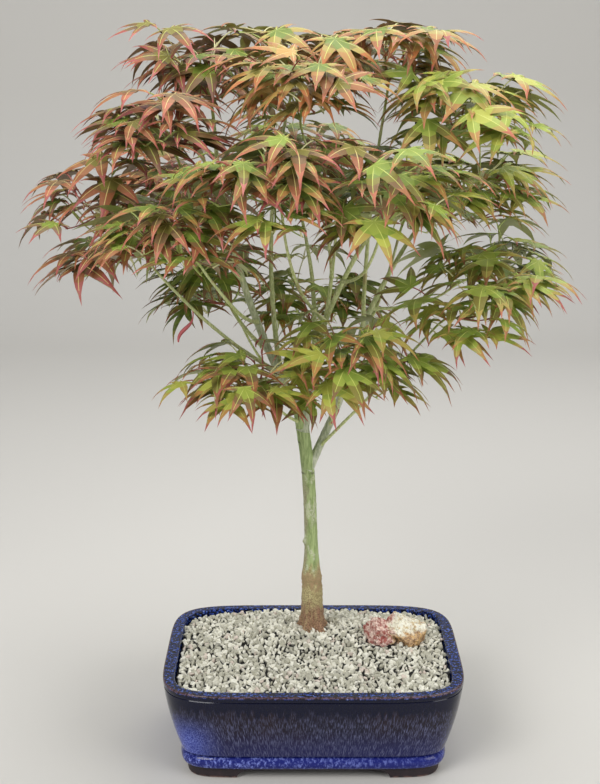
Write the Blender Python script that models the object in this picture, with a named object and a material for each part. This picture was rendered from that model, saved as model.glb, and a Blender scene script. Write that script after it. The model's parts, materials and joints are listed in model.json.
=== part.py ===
"""A potted japanese maple bonsai: glazed pot, gravel, viewing stone, trunk, boughs and masses of leaves.

Metres, +Z up. The pot is laid out about its own middle, and the root empty then moves the whole plant
so that the origin lies under the middle of its outer box, on the plane that the feet stand on.
"""
import math
import random

import bmesh
import bpy
from mathutils import Matrix, Vector
from mathutils.bvhtree import BVHTree

# ---------------------------------------------------------------- driving dimensions
GAP = 0.0003            # clearance between pieces that touch
POT_HALF_X = 0.127      # half width over the rim
POT_HALF_Y = 0.097      # half depth over the rim
POT_H = 0.083           # height over the rim
POT_POWER = 5.5         # squareness of the plan at the rim: a superellipse of this power
CORNER_GAIN = 170       # how fast the power rises with the inset, so that the corners keep pace
RIM_W = 0.0105          # width of the flat rim
RIM_H = 0.0055          # height of the rim band
WALL = 0.0085           # wall under the rim
BELLY_IN = 0.0155       # how far the belly draws in from the rim down to the moulding
MOULD_Z = 0.021         # top of the rolled moulding round the foot of the belly
MOULD_IN = 0.0170       # how far in the moulding stands
BAND_Z = 0.0095         # top of the unglazed band that the feet are part of
BAND_IN = 0.0200        # how far in the band and the feet stand
FOOT_H = 0.0075         # clear height between the feet
FOOT_GAP_X = 0.056      # half of the gap between the feet along the front, at its top
FOOT_GAP_Y = 0.036      # and along the sides
FOOT_SLOPE = 0.008      # how far a foot's inner end slopes in
FLOOR_Z = 0.0165        # top of the pot's floor
SOFT = 0.0015           # how far its edges are rounded over
POT_SEGMENTS = 36

TRUNK_X, TRUNK_Y = 0.0, 0.035       # the trunk's foot, from the pot's middle
GROUND_Z = 0.090                    # top of the gravel at the trunk
GRAVEL_EDGE_Z = 0.0795              # top of the gravel at the pot's wall
SEAT_R = 0.0135                     # flat seat in the gravel under the trunk

HEAP_X, HEAP_Y = 0.075, 0.050       # how far the heap of gravel spreads from the trunk
HEAP_RINGS = (0.15, 0.4, 0.7)       # rings of the gravel's top, as shares of the way in to the seat

GRAIN_SPACING = 0.024               # how far apart the larger grains lie that stand out of the gravel
GRAIN_ROWS, GRAIN_COLUMNS = 7, 9
GRAIN_SHIFT = 0.25                  # how far one lies off its place, as a share of the spacing
GRAIN_HALF = (0.0040, 0.0034, 0.0028)
GRAIN_SIZES = (0.8, 1.15)
GRAIN_CORNERS = 12
GRAIN_ROUGH = 0.15                  # how uneven a grain is, as a share of its size
GRAIN_SUNK = 0.0008                 # how far under the gravel's top a grain's middle lies
GRAIN_CLEAR = 0.0065                # how far its middle keeps from the wall, the trunk's seat and the stone

STONE_X, STONE_Y = 0.074, 0.020     # the viewing stone
STONE_LIFT = 0.42                   # how far the middle of a lobe stands over the gravel, in half heights
STONE_ROUGH = 0.14                  # how uneven it is, as a share of its size
STONE_LOBES = (                     # name, offset, half sizes, turn
    ("stone", (0.007, 0.0), (0.0185, 0.0150, 0.0150), 0.3),
    ("stone_side", (-0.0145, -0.004), (0.0145, 0.0115, 0.0105), -0.4),
)

TRUNK_RISE = 0.212                  # from the ground to the fork
TRUNK_LEAN = (-0.0035, -0.015)      # how far the fork stands off the foot, along x and y
TRUNK_CROOK = -0.012                # the bend to the left under the fork
TRUNK_R = 0.0056                    # radius of the green upper trunk
GRAFT_SWELL, GRAFT_Z, GRAFT_SOFT = 0.0036, 0.148, 0.009
FLARE, FLARE_SOFT = 0.0024, 0.007   # root flare at the ground
LAST_FORK = 0.85                    # share of the trunk's height where it starts to thin
TIP_TAPER = 0.30                    # how much it thins from there to its tip
TRUNK_SIDES = 14
TRUNK_RINGS = (0.0, 0.012, 0.03, 0.06, 0.1, 0.16, 0.21, 0.26, 0.31, 0.37, 0.45, 0.55, 0.66, 0.78, 0.9, 1.0)
TRUNK_SPACING = 0.012               # rings of the tool that trims boughs to the trunk
THICK_BOUGH = 0.0026                # a bough with a larger base than this gets more sides and rings
BOUGH_TAPER = 0.8                   # how soon a bough thins: below 1, mostly near its base

SEED = 11
GOLDEN = math.radians(137.508)      # turn from one shoot of a mass to the next
STEM_AHEAD = 0.4                    # share of a stem that runs straight on from its bough
HUB_DROP = 0.30                     # how far under a mass's middle its stem ends, in half heights
SHOOT_REACH = 0.5                   # how far out a shoot's end may lie, as a share of the mass's half size
SHOOT_RISE, SHOOT_DROP = 0.55, 0.22     # how high the inner shoots end, and how low the outer ones
OUTWARD = 0.7                       # how much the leaves turn away from the trunk
TWIG_R = 0.00085
PETIOLE_R = 0.0006
PETIOLE_LENGTH = (0.014, 0.024)
PETIOLE_CLIMB = (0.25, 0.9)         # how steeply a stalk rises, against one outwards
LEAF_PLACES = ((0.96, -1), (0.88, 1), (0.55, None), (0.72, 0))     # share of the shoot, side (None: either)
LEAF_SWING = (0.45, 1.0)            # how far a leaf on a side turns from the shoot's direction
LEAF_WAVER = 0.35                   # and one that lies along the shoot
LEAF_TILT = (0.1, 0.6)              # how far a leaf leans outwards
LEAF_SIZE = (0.041, 0.052)          # length of the middle lobe
LEAF_THICK = 0.0009
STALK_CORNERS = (-math.pi / 2, math.radians(30), math.pi - 0.2)    # a stalk's corners, from the middle lobe
SPACE_MARGIN = 1.1                  # how far past its mass's space a leaf's tips may reach
TRIES = 6                           # shoots tried for each leaf wanted
FIT_SIZES = (1.0, 0.9, 0.8)         # a leaf that meets something is made smaller
FIT_TURNS = (0.0, 0.4, -0.4, 0.8, -0.8)     # or turned
RED_LEFT_OF, ORANGE_ABOVE = -0.06, 0.54     # where the autumn colours start

# Each bough: the limb that it grows from, how far along that limb as a share of its length, the bough's tip,
# its sideways bow at mid length, its radius at the base and at the tip.
BOUGHS = {
    "leader": ("trunk", 0.96, (-0.080, 0.008, 0.530), (-0.013, -0.012, 0.0), 0.0041, 0.0015),
    "right": ("trunk", 0.70, (0.046, 0.041, 0.374), (0.005, 0.0, 0.0), 0.0038, 0.0027),
    "middle": ("trunk", 0.87, (-0.0015, 0.019, 0.316), (0.001, 0.0, 0.0), 0.0040, 0.0033),
    "right_outer": ("right", 0.93, (0.098, 0.038, 0.462), (-0.002, 0.006, 0.0), 0.0025, 0.0014),
    "front_right": ("middle", 0.90, (0.088, -0.050, 0.510), (-0.020, -0.010, 0.0), 0.0029, 0.0012),
    "heart": ("middle", 0.94, (0.018, -0.012, 0.452), (0.003, 0.0, 0.0), 0.0025, 0.0012),
    "back": ("middle", 0.80, (-0.012, 0.125, 0.452), (0.008, -0.004, 0.0), 0.0028, 0.0013),
    "top_middle": ("leader", 0.12, (-0.020, 0.050, 0.548), (-0.012, 0.010, 0.0), 0.0025, 0.0012),
    "outer_left": ("leader", 0.14, (-0.140, -0.002, 0.430), (-0.004, -0.010, -0.004), 0.0019, 0.0010),
    "front_left": ("leader", 0.33, (-0.086, -0.078, 0.430), (0.004, -0.014, -0.008), 0.0018, 0.0010),
    "upper_left": ("leader", 0.48, (-0.104, -0.036, 0.502), (-0.004, -0.008, -0.006), 0.0017, 0.0010),
    "back_left": ("leader", 0.22, (-0.088, 0.095, 0.430), (-0.010, 0.006, -0.010), 0.0020, 0.0011),
    "inner_left": ("leader", 0.08, (-0.062, 0.036, 0.366), (-0.004, 0.006, -0.002), 0.0014, 0.0009),
    "top_right": ("right", 0.90, (0.056, -0.002, 0.545), (-0.004, -0.008, 0.0), 0.0020, 0.0011),
    "right_shelf": ("right_outer", 0.12, (0.118, 0.044, 0.394), (0.006, 0.004, -0.006), 0.0015, 0.0010),
    "lower_right": ("right", 0.14, (0.096, -0.035, 0.374), (0.002, -0.004, 0.002), 0.0014, 0.0009),
    "skirt_right": ("right", 0.28, (0.018, -0.024, 0.336), (0.006, -0.004, 0.0), 0.0013, 0.0009),
    "back_right": ("right", 0.84, (0.076, 0.100, 0.430), (0.002, 0.014, -0.010), 0.0019, 0.0011),
    "front_middle": ("heart", 0.42, (-0.024, -0.092, 0.468), (-0.006, -0.012, -0.006), 0.0016, 0.0010),
    "front_high": ("heart", 0.70, (-0.008, -0.052, 0.525), (0.004, -0.010, 0.0), 0.0014, 0.0009),
    "front": ("front_right", 0.50, (0.048, -0.084, 0.452), (0.002, -0.008, -0.008), 0.0015, 0.0010),
    "skirt_left": ("trunk", 0.90, (-0.036, -0.012, 0.318), (-0.004, -0.004, -0.002), 0.0014, 0.0009),
    "back_low": ("back", 0.28, (0.0, 0.078, 0.346), (0.004, 0.002, -0.006), 0.0014, 0.0009),
}

# Each mass of leaves: its bough, middle, half sizes, number of leaves.
MASSES = {
    "top_left": ("leader", (-0.086, 0.018, 0.574), (0.066, 0.064, 0.038), 11),
    "top_middle": ("top_middle", (-0.014, 0.052, 0.582), (0.064, 0.070, 0.036), 11),
    "top_right": ("top_right", (0.060, -0.006, 0.588), (0.066, 0.066, 0.036), 12),
    "upper_left": ("upper_left", (-0.128, -0.045, 0.536), (0.070, 0.064, 0.044), 12),
    "upper_right": ("front_right", (0.116, -0.040, 0.544), (0.068, 0.064, 0.044), 12),
    "outer_left": ("outer_left", (-0.172, 0.010, 0.450), (0.064, 0.070, 0.068), 13),
    "outer_right": ("right_outer", (0.140, 0.016, 0.488), (0.072, 0.068, 0.046), 12),
    "front_left": ("front_left", (-0.104, -0.102, 0.462), (0.072, 0.068, 0.056), 12),
    "front_middle": ("front_middle", (-0.034, -0.122, 0.500), (0.066, 0.062, 0.052), 11),
    "front_right": ("front", (0.052, -0.110, 0.482), (0.066, 0.062, 0.052), 11),
    "front_high": ("front_high", (-0.010, -0.062, 0.562), (0.066, 0.060, 0.040), 9),
    "heart": ("heart", (0.016, -0.012, 0.488), (0.064, 0.060, 0.050), 8),
    "right_shelf": ("right_shelf", (0.154, 0.040, 0.414), (0.068, 0.066, 0.038), 9),
    "lower_right": ("lower_right", (0.130, -0.045, 0.394), (0.066, 0.060, 0.040), 9),
    "skirt_left": ("skirt_left", (-0.048, -0.045, 0.342), (0.066, 0.060, 0.046), 8),
    "skirt_right": ("skirt_right", (0.036, -0.056, 0.354), (0.070, 0.058, 0.050), 9),
    "inner_left": ("inner_left", (-0.084, 0.045, 0.398), (0.062, 0.056, 0.046), 6),
    "back_left": ("back_left", (-0.118, 0.125, 0.468), (0.078, 0.072, 0.060), 12),
    "back_middle": ("back", (-0.010, 0.155, 0.496), (0.072, 0.066, 0.062), 12),
    "back_right": ("back_right", (0.100, 0.128, 0.468), (0.078, 0.072, 0.060), 12),
    "back_low": ("back_low", (0.0, 0.105, 0.368), (0.068, 0.062, 0.044), 8),
}

# Each lobe of a leaf: its angle from the middle lobe, and its length as a share of the middle lobe's.
LOBES = ((-98, 0.55), (-47, 0.88), (0, 1.0), (47, 0.88), (98, 0.55))
NOTCH = 0.34            # how far out the notches between lobes lie
DROOP = 0.34            # how far a lobe's tip hangs under the leaf's middle


# ---------------------------------------------------------------- materials
def principled(name, colour, roughness, metallic=0.0):
    material = bpy.data.materials.new(name)
    material.use_nodes = True
    shader = material.node_tree.nodes["Principled BSDF"]
    shader.inputs["Base Color"].default_value = (*colour, 1.0)
    shader.inputs["Roughness"].default_value = roughness
    shader.inputs["Metallic"].default_value = metallic
    material.diffuse_color = (*colour, 1.0)
    return material


def make_materials():
    return {
        "glaze": principled("blue_glaze", (0.012, 0.022, 0.11), 0.12),
        "gravel": principled("grey_gravel", (0.42, 0.42, 0.38), 0.85),
        "stone": principled("viewing_stone", (0.62, 0.45, 0.30), 0.8),
        "bark": principled("green_bark", (0.30, 0.33, 0.17), 0.7),
        "twig": principled("young_bark", (0.34, 0.38, 0.15), 0.6),
        "leaf_red": principled("leaf_red", (0.42, 0.14, 0.07), 0.5),
        "leaf_orange": principled("leaf_orange", (0.45, 0.24, 0.06), 0.5),
        "leaf_green": principled("leaf_green", (0.24, 0.31, 0.07), 0.5),
    }


# ---------------------------------------------------------------- small helpers
def clear_scene():
    for obj in list(bpy.data.objects):
        bpy.data.objects.remove(obj, do_unlink=True)


def new_object(name, verts, faces, material=None, parent=None):
    mesh = bpy.data.meshes.new(name)
    mesh.from_pydata([tuple(v) for v in verts], [], faces)
    mesh.update()
    obj = bpy.data.objects.new(name, mesh)
    bpy.context.scene.collection.objects.link(obj)
    if material:
        mesh.materials.append(material)
    if parent:
        obj.parent = parent
    return obj


def recalculated(obj, in_triangles=False):
    """Turns the faces of a closed mesh outwards, and can fix how its bent faces are split."""
    work = bmesh.new()
    work.from_mesh(obj.data)
    bmesh.ops.recalc_face_normals(work, faces=work.faces)
    if in_triangles:
        bmesh.ops.triangulate(work, faces=work.faces)
    work.to_mesh(obj.data)
    work.free()
    return obj


def keep_largest_body(mesh):
    """Drops the loose scraps that a Boolean can leave."""
    work = bmesh.new()
    work.from_mesh(mesh)
    work.verts.ensure_lookup_table()
    seen, groups = set(), []
    for start in work.verts:
        if start in seen:
            continue
        group, todo = [], [start]
        seen.add(start)
        while todo:
            vert = todo.pop()
            group.append(vert)
            for edge in vert.link_edges:
                other = edge.other_vert(vert)
                if other not in seen:
                    seen.add(other)
                    todo.append(other)
        groups.append(group)
    groups.sort(key=len, reverse=True)
    for group in groups[1:]:
        bmesh.ops.delete(work, geom=group, context="VERTS")
    work.to_mesh(mesh)
    work.free()
    return len(groups)


def boolean(obj, others, operation):
    """Applies one Boolean with a collection of objects, and removes those objects."""
    group = bpy.data.collections.new("operands")
    bpy.context.scene.collection.children.link(group)
    for other in others:
        bpy.context.scene.collection.objects.unlink(other)
        group.objects.link(other)
    modifier = obj.modifiers.new("join", "BOOLEAN")
    modifier.operation = operation
    modifier.solver = "EXACT"
    modifier.operand_type = "COLLECTION"
    modifier.collection = group
    graph = bpy.context.evaluated_depsgraph_get()
    graph.update()
    made = bpy.data.meshes.new_from_object(obj.evaluated_get(graph))
    obj.modifiers.remove(modifier)
    old, obj.data = obj.data, made
    bpy.data.meshes.remove(old)
    for other in others:
        bpy.data.objects.remove(other, do_unlink=True)
    bpy.data.collections.remove(group)
    return keep_largest_body(obj.data)


def pot_plan(z, inset, segments=POT_SEGMENTS):
    """A ring round the pot's squared oval, this far in from the rim: its corners tighten as it goes in."""
    half_x, half_y = POT_HALF_X - inset, POT_HALF_Y - inset
    power = POT_POWER + CORNER_GAIN * inset
    ring = []
    for k in range(segments):
        angle = 2 * math.pi * (k + 0.5) / segments
        c, s = math.cos(angle), math.sin(angle)
        x = half_x * math.copysign(abs(c) ** (2 / power), c)
        y = half_y * math.copysign(abs(s) ** (2 / power), s)
        ring.append(Vector((x, y, z)))
    return ring


def loft(rings):
    """A closed skin through rings with equal point counts, with a flat face at each end."""
    count = len(rings[0])
    verts = [p for ring in rings for p in ring]
    faces = [tuple(reversed(range(count)))]
    for r in range(len(rings) - 1):
        low, high = r * count, (r + 1) * count
        for k in range(count):
            nxt = (k + 1) % count
            faces.append((low + k, low + nxt, high + nxt, high + k))
    last = (len(rings) - 1) * count
    faces.append(tuple(range(last, last + count)))
    return verts, faces


def frames_along(path):
    """Two cross directions at each point of a path, carried along it without twist."""
    found, side = [], None
    for k, point in enumerate(path):
        ahead = path[min(k + 1, len(path) - 1)] - path[max(k - 1, 0)]
        ahead.normalize()
        if side is None:
            side = ahead.cross(Vector((0.3, 1.0, 0.1))).normalized()
        side = (side - ahead * side.dot(ahead)).normalized()
        found.append((side.copy(), ahead.cross(side)))
    return found


def tube(path, radii, sides):
    """A tapering tube with flat ends: (points, faces)."""
    rings = []
    for point, radius, (u, v) in zip(path, radii, frames_along(path)):
        ring = []
        for k in range(sides):
            angle = 2 * math.pi * k / sides
            ring.append(point + radius * (math.cos(angle) * u + math.sin(angle) * v))
        rings.append(ring)
    return loft(rings)


# ---------------------------------------------------------------- pot, gravel and stone
def belly_inset(z):
    """How far the pot's outer side stands in from the rim at this height."""
    drop = (POT_H - z) / (POT_H - MOULD_Z)
    return BELLY_IN * drop ** 1.5


def inner_profile():
    """The pot's inner wall, from the rim down to the floor, as (height, inset from the rim)."""
    wall = [(z, belly_inset(z) + WALL) for z in (0.056, 0.030)]
    return [(POT_H, RIM_W - SOFT), (POT_H - SOFT, RIM_W), *wall, (FLOOR_Z, MOULD_IN + WALL)]


def make_pot(material, root):
    """A glazed tray with a flat rim, a bowed belly, a rolled moulding and four unglazed corner feet."""
    rim_bottom = POT_H - RIM_H
    profile = [(0.0, BAND_IN + SOFT), (SOFT, BAND_IN), (BAND_Z, BAND_IN)]
    profile += [(BAND_Z + SOFT / 2, MOULD_IN + SOFT / 2), (BAND_Z + 2 * SOFT, MOULD_IN)]
    profile += [(MOULD_Z - SOFT, MOULD_IN - SOFT), (MOULD_Z, BELLY_IN + SOFT / 3)]
    profile += [(z, belly_inset(z)) for z in (0.031, 0.045, 0.058, 0.070)]
    profile += [(rim_bottom, belly_inset(rim_bottom) + SOFT / 2), (rim_bottom + SOFT, 0.0)]
    profile += [(POT_H - SOFT, 0.0), (POT_H, SOFT)]
    profile += inner_profile()
    verts, faces = loft([pot_plan(z, inset) for z, inset in profile])
    pot = recalculated(new_object("pot", verts, faces, material, root))
    recesses = [foot_recess("recess_front", FOOT_GAP_X, True), foot_recess("recess_sides", FOOT_GAP_Y, False)]
    boolean(pot, recesses, "DIFFERENCE")
    smooth(pot, 40)
    return pot


def foot_recess(name, half_width, along_y):
    """A long prism with sloping sides that leaves the corner feet standing."""
    below, reach = 0.004, 0.2
    section = [(-half_width - FOOT_SLOPE, -below), (half_width + FOOT_SLOPE, -below),
               (half_width, FOOT_H), (-half_width, FOOT_H)]
    rings = []
    for end in (-reach, reach):
        rings.append([Vector((across, end, z) if along_y else (end, across, z)) for across, z in section])
    verts, faces = loft(rings)
    return recalculated(new_object(name, verts, faces))


def gravel_height(x, y):
    """Top of the gravel: level at the wall, heaped up behind the middle, round the trunk."""
    away = math.hypot((x - TRUNK_X) / HEAP_X, (y - TRUNK_Y) / HEAP_Y)
    return GRAVEL_EDGE_Z + (GROUND_Z - GRAVEL_EDGE_Z) * math.exp(-away ** 2)


def make_gravel(material, root):
    """Fills the pot, with a heaped top and a flat seat for the trunk."""
    clear = 1.5 * GAP
    wall = inner_profile()[2:]
    slope = (wall[0][1] - RIM_W) / (POT_H - SOFT - wall[0][0])
    edge_inset = RIM_W + slope * (POT_H - SOFT - GRAVEL_EDGE_Z)
    profile = [(FLOOR_Z + GAP, wall[-1][1] + clear), *((z, inset + clear) for z, inset in wall[-2::-1]),
               (GRAVEL_EDGE_Z, edge_inset + clear)]
    rings = [pot_plan(z, inset) for z, inset in profile]
    edge = rings[-1]
    trunk = Vector((TRUNK_X, TRUNK_Y, 0.0))
    seat = [trunk + SEAT_R * Vector((p.x, p.y, 0.0)).normalized() for p in edge]
    for share in HEAP_RINGS:
        ring = []
        for far, near in zip(edge, seat):
            x, y = far.lerp(near, share).xy
            ring.append(Vector((x, y, min(gravel_height(x, y), GROUND_Z - 2 * GAP))))
        rings.append(ring)
    rings.append([Vector((p.x, p.y, GROUND_Z)) for p in seat])
    verts, faces = loft(rings)
    gravel = recalculated(new_object("gravel", verts, faces, material, root), in_triangles=True)
    smooth(gravel, 50)
    return gravel


def open_gravel(x, y):
    """Whether a larger grain has room here: off the wall, the trunk's seat and the stone."""
    half_x, half_y = POT_HALF_X - RIM_W - GRAIN_CLEAR, POT_HALF_Y - RIM_W - GRAIN_CLEAR
    if (abs(x) / half_x) ** POT_POWER + (abs(y) / half_y) ** POT_POWER > 1:
        return False
    if math.hypot(x - TRUNK_X, y - TRUNK_Y) < SEAT_R + GRAIN_CLEAR:
        return False
    for _, offset, half, _ in STONE_LOBES:
        if math.hypot(x - STONE_X - offset[0], y - STONE_Y - offset[1]) < half[0] + GRAIN_CLEAR:
            return False
    return True


def grain_corners():
    """The corners of each of the larger grains."""
    rng = random.Random(SEED)
    grains = []
    for number in range(GRAIN_ROWS * GRAIN_COLUMNS):
        row, column = divmod(number, GRAIN_COLUMNS)
        x = GRAIN_SPACING * (column - (GRAIN_COLUMNS - 1) / 2 + rng.uniform(-1, 1) * GRAIN_SHIFT)
        y = GRAIN_SPACING * (row - (GRAIN_ROWS - 1) / 2 + rng.uniform(-1, 1) * GRAIN_SHIFT)
        size = rng.uniform(*GRAIN_SIZES)
        turn = Matrix.Rotation(rng.uniform(0, math.pi), 3, "Z")
        corners = []
        for k in range(GRAIN_CORNERS):
            up = 1 - (2 * k + 1) / GRAIN_CORNERS
            out = math.sqrt(1 - up * up)
            reach = size * (1 - rng.uniform(0, GRAIN_ROUGH))
            point = Vector((out * math.cos(k * GOLDEN), out * math.sin(k * GOLDEN), up)) * reach
            corners.append(turn @ Vector([point[k] * GRAIN_HALF[k] for k in range(3)]))
        if open_gravel(x, y):
            middle = Vector((x, y, gravel_height(x, y) - GRAIN_SUNK))
            grains.append([middle + corner for corner in corners])
    return grains


def add_grains(gravel):
    """Joins the larger grains to the gravel."""
    lumps = []
    for corners in grain_corners():
        work = bmesh.new()
        bmesh.ops.convex_hull(work, input=[work.verts.new(corner) for corner in corners])
        mesh = bpy.data.meshes.new("grain")
        work.to_mesh(mesh)
        work.free()
        lumps.append(recalculated(bpy.data.objects.new("grain", mesh)))
        bpy.context.scene.collection.objects.link(lumps[-1])
    count = len(lumps)
    bodies = boolean(gravel, lumps, "UNION")
    print("gravel with", count, "larger grains, bodies", bodies)


def lump(name, middle, half, turn, rng):
    """One faceted lobe of the stone: an icosphere with uneven faces."""
    work = bmesh.new()
    bmesh.ops.create_icosphere(work, subdivisions=2, radius=1.0)
    spin = Matrix.Rotation(turn, 3, "Z")
    for vert in work.verts:
        bumpy = vert.co * (1 + rng.uniform(-STONE_ROUGH, STONE_ROUGH))
        scaled = Vector((bumpy.x * half[0], bumpy.y * half[1], bumpy.z * half[2]))
        vert.co = spin @ scaled + Vector(middle)
    mesh = bpy.data.meshes.new(name)
    work.to_mesh(mesh)
    work.free()
    obj = bpy.data.objects.new(name, mesh)
    bpy.context.scene.collection.objects.link(obj)
    return obj


def make_stone(material, gravel, root):
    """Two lobes, a tall pale one and a low pink one, bedded in the gravel and trimmed to its surface."""
    rng = random.Random(SEED)
    lobes = []
    for name, offset, half, turn in STONE_LOBES:
        x, y = STONE_X + offset[0], STONE_Y + offset[1]
        middle = (x, y, gravel_height(x, y) + STONE_LIFT * half[2])
        lobes.append(lump(name, middle, half, turn, rng))
    stone, side = lobes
    stone.data.materials.append(material)
    stone.parent = root
    boolean(stone, [side], "UNION")
    bed = gravel.copy()
    bed.data = gravel.data.copy()
    bed.parent = None
    bed.data.transform(Matrix.Translation((0, 0, GAP)))
    bpy.context.scene.collection.objects.link(bed)
    boolean(stone, [bed], "DIFFERENCE")
    return stone


# ---------------------------------------------------------------- trunk and boughs
def bowed(start, tip, bow, share):
    """A point on a limb's curve: straight from start to tip, pushed out by bow at the middle."""
    return start.lerp(tip, share) + bow * (4 * share * (1 - share))


def trunk_point(share):
    """Almost straight up to the fork, where it bends to the left."""
    across = TRUNK_LEAN[0] * share + TRUNK_CROOK * share ** 5
    up = GROUND_Z + GAP + (TRUNK_RISE - GAP) * share
    return Vector((TRUNK_X + across, TRUNK_Y + TRUNK_LEAN[1] * share, up))


def trunk_radius(share):
    z = trunk_point(share).z
    swell = GRAFT_SWELL / (1 + math.exp((z - GRAFT_Z) / GRAFT_SOFT))
    flare = FLARE * math.exp(-(z - GROUND_Z) / FLARE_SOFT)
    thinned = TIP_TAPER * max(0.0, share - LAST_FORK) / (1 - LAST_FORK)
    return TRUNK_R * (1 - thinned) + swell + flare


def limb_curves():
    """For each limb, a function from the share of its length to (point, radius)."""
    curves = {"trunk": lambda s: (trunk_point(s), trunk_radius(s))}
    for name, (parent, where, tip, bow, thick, thin) in BOUGHS.items():
        start = curves[parent](where)[0]

        def curve(s, start=start, tip=Vector(tip), bow=Vector(bow), thick=thick, thin=thin):
            return bowed(start, tip, bow, s), thick + (thin - thick) * s ** BOUGH_TAPER

        curves[name] = curve
    return curves


def limb_path(curve, spacing):
    """Evenly spaced points along a limb, and its radius at each."""
    count = max(4, round((curve(1)[0] - curve(0)[0]).length / spacing))
    pairs = [curve(k / count) for k in range(count + 1)]
    return [p for p, _ in pairs], [r for _, r in pairs]


def limb_tube(curve, sides, spacing, grow=0.0):
    """The skin of a limb. Grown by a clearance, it is the tool that trims the limbs which meet it."""
    path, radii = limb_path(curve, spacing)
    if grow:
        radii = [(r + grow) / math.cos(math.pi / sides) for r in radii]
        path[0] = path[0] - (path[1] - path[0]).normalized() * grow
        path[-1] = path[-1] + (path[-1] - path[-2]).normalized() * grow
    return tube(path, radii, sides)


def bough_build(name):
    """Number of sides, and spacing of the rings: both finer on the thicker boughs."""
    return (8, 0.028) if BOUGHS[name][4] > THICK_BOUGH else (6, 0.034)


def make_trunk(material, root):
    """Tapers from the root flare, over the graft, to the fork. Its foot is cut level on the gravel."""
    path = [trunk_point(s) for s in TRUNK_RINGS]
    verts, faces = tube(path, [trunk_radius(s) for s in TRUNK_RINGS], TRUNK_SIDES)
    for k in range(TRUNK_SIDES):
        verts[k].z = GROUND_Z + GAP
    trunk = recalculated(new_object("trunk", verts, faces, material, root))
    smooth(trunk, 60)
    return trunk


def make_boughs(material, root, curves):
    """Each bough starts inside its parent and is trimmed back to its skin, as to any limb it passes."""
    tools = {"trunk": limb_tube(curves["trunk"], TRUNK_SIDES, TRUNK_SPACING, GAP)}
    trees = {"trunk": BVHTree.FromPolygons(*tools["trunk"])}
    for name, row in BOUGHS.items():
        sides, spacing = bough_build(name)
        verts, faces = limb_tube(curves[name], sides, spacing)
        tree = BVHTree.FromPolygons(verts, faces)
        met = [other for other in tools if other == row[0] or tree.overlap(trees[other])]
        bough = recalculated(new_object("bough_" + name, verts, faces, material, root))
        cutters = [recalculated(new_object("tool_" + other, *tools[other])) for other in met]
        boolean(bough, cutters, "DIFFERENCE")
        smooth(bough, 60)
        tools[name] = limb_tube(curves[name], sides, spacing, GAP)
        trees[name] = BVHTree.FromPolygons(*tools[name])
    limbs = Clearance()
    for shape in tools.values():
        limbs.add(shape)
    return limbs


# ---------------------------------------------------------------- leaves
def blade_outline(size):
    """The outline of one leaf about its joint: x along the middle lobe, z the droop of the tips."""
    outline = [Vector((-0.07 * size, 0.0, 0.0))]
    for k, (angle, length) in enumerate(LOBES):
        if k:
            between = math.radians((angle + LOBES[k - 1][0]) / 2)
            reach = NOTCH * size
            outline.append(Vector((reach * math.cos(between), reach * math.sin(between), -0.06 * size)))
        a, reach = math.radians(angle), length * size
        outline.append(Vector((reach * math.cos(a), reach * math.sin(a), -DROOP * length * reach)))
    return outline


def leaf_shape(foot, joint, heading, normal, size, thick=LEAF_THICK):
    """A leaf on its stalk as one closed skin: a fan over a fan, the lower one drawn out into the stalk."""
    up = normal.normalized()
    along = (heading - up * heading.dot(up)).normalized()
    across = up.cross(along)
    rim = [joint + along * p.x + across * p.y + up * p.z for p in blade_outline(size)]
    count = len(rim)
    verts = rim + [joint + up * thick * 0.6]
    faces = [(count, k, (k + 1) % count) for k in range(count)]
    bearings = [math.atan2((p - joint).dot(across), (p - joint).dot(along)) for p in rim]
    low = joint - up * thick * 0.6
    top, bottom = len(verts), len(verts) + 3
    flat = [along * math.cos(a) + across * math.sin(a) for a in STALK_CORNERS]
    run = (low - foot).normalized()
    verts += [low + PETIOLE_R * d for d in flat]
    verts += [foot + PETIOLE_R * (d - run * d.dot(run)).normalized() for d in flat]

    def nearest(bearing):
        off = [abs((bearing - a + math.pi) % (2 * math.pi) - math.pi) for a in STALK_CORNERS]
        return off.index(min(off))

    owner = [nearest(b) for b in bearings]
    for k in range(count):
        nxt = (k + 1) % count
        faces.append((nxt, k, top + owner[k]))
        if owner[k] != owner[nxt]:
            faces.append((nxt, top + owner[k], top + owner[nxt]))
    for k in range(3):
        nxt = (k + 1) % 3
        faces.append((top + nxt, top + k, bottom + k, bottom + nxt))
    faces.append((bottom, bottom + 2, bottom + 1))
    return verts, faces


# ---------------------------------------------------------------- growth of one mass
def within(point, middle, half, reach=1.0):
    return sum(((point[k] - middle[k]) / half[k]) ** 2 for k in range(3)) <= reach ** 2


def stem_path(start, ahead, middle, half):
    """From the bough's tip, straight on along the bough at first, then up to the hub of the mass."""
    hub = middle + Vector((0, 0, -HUB_DROP * half.z))
    return [start, start + ahead * (hub - start).length * STEM_AHEAD, hub]


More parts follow.
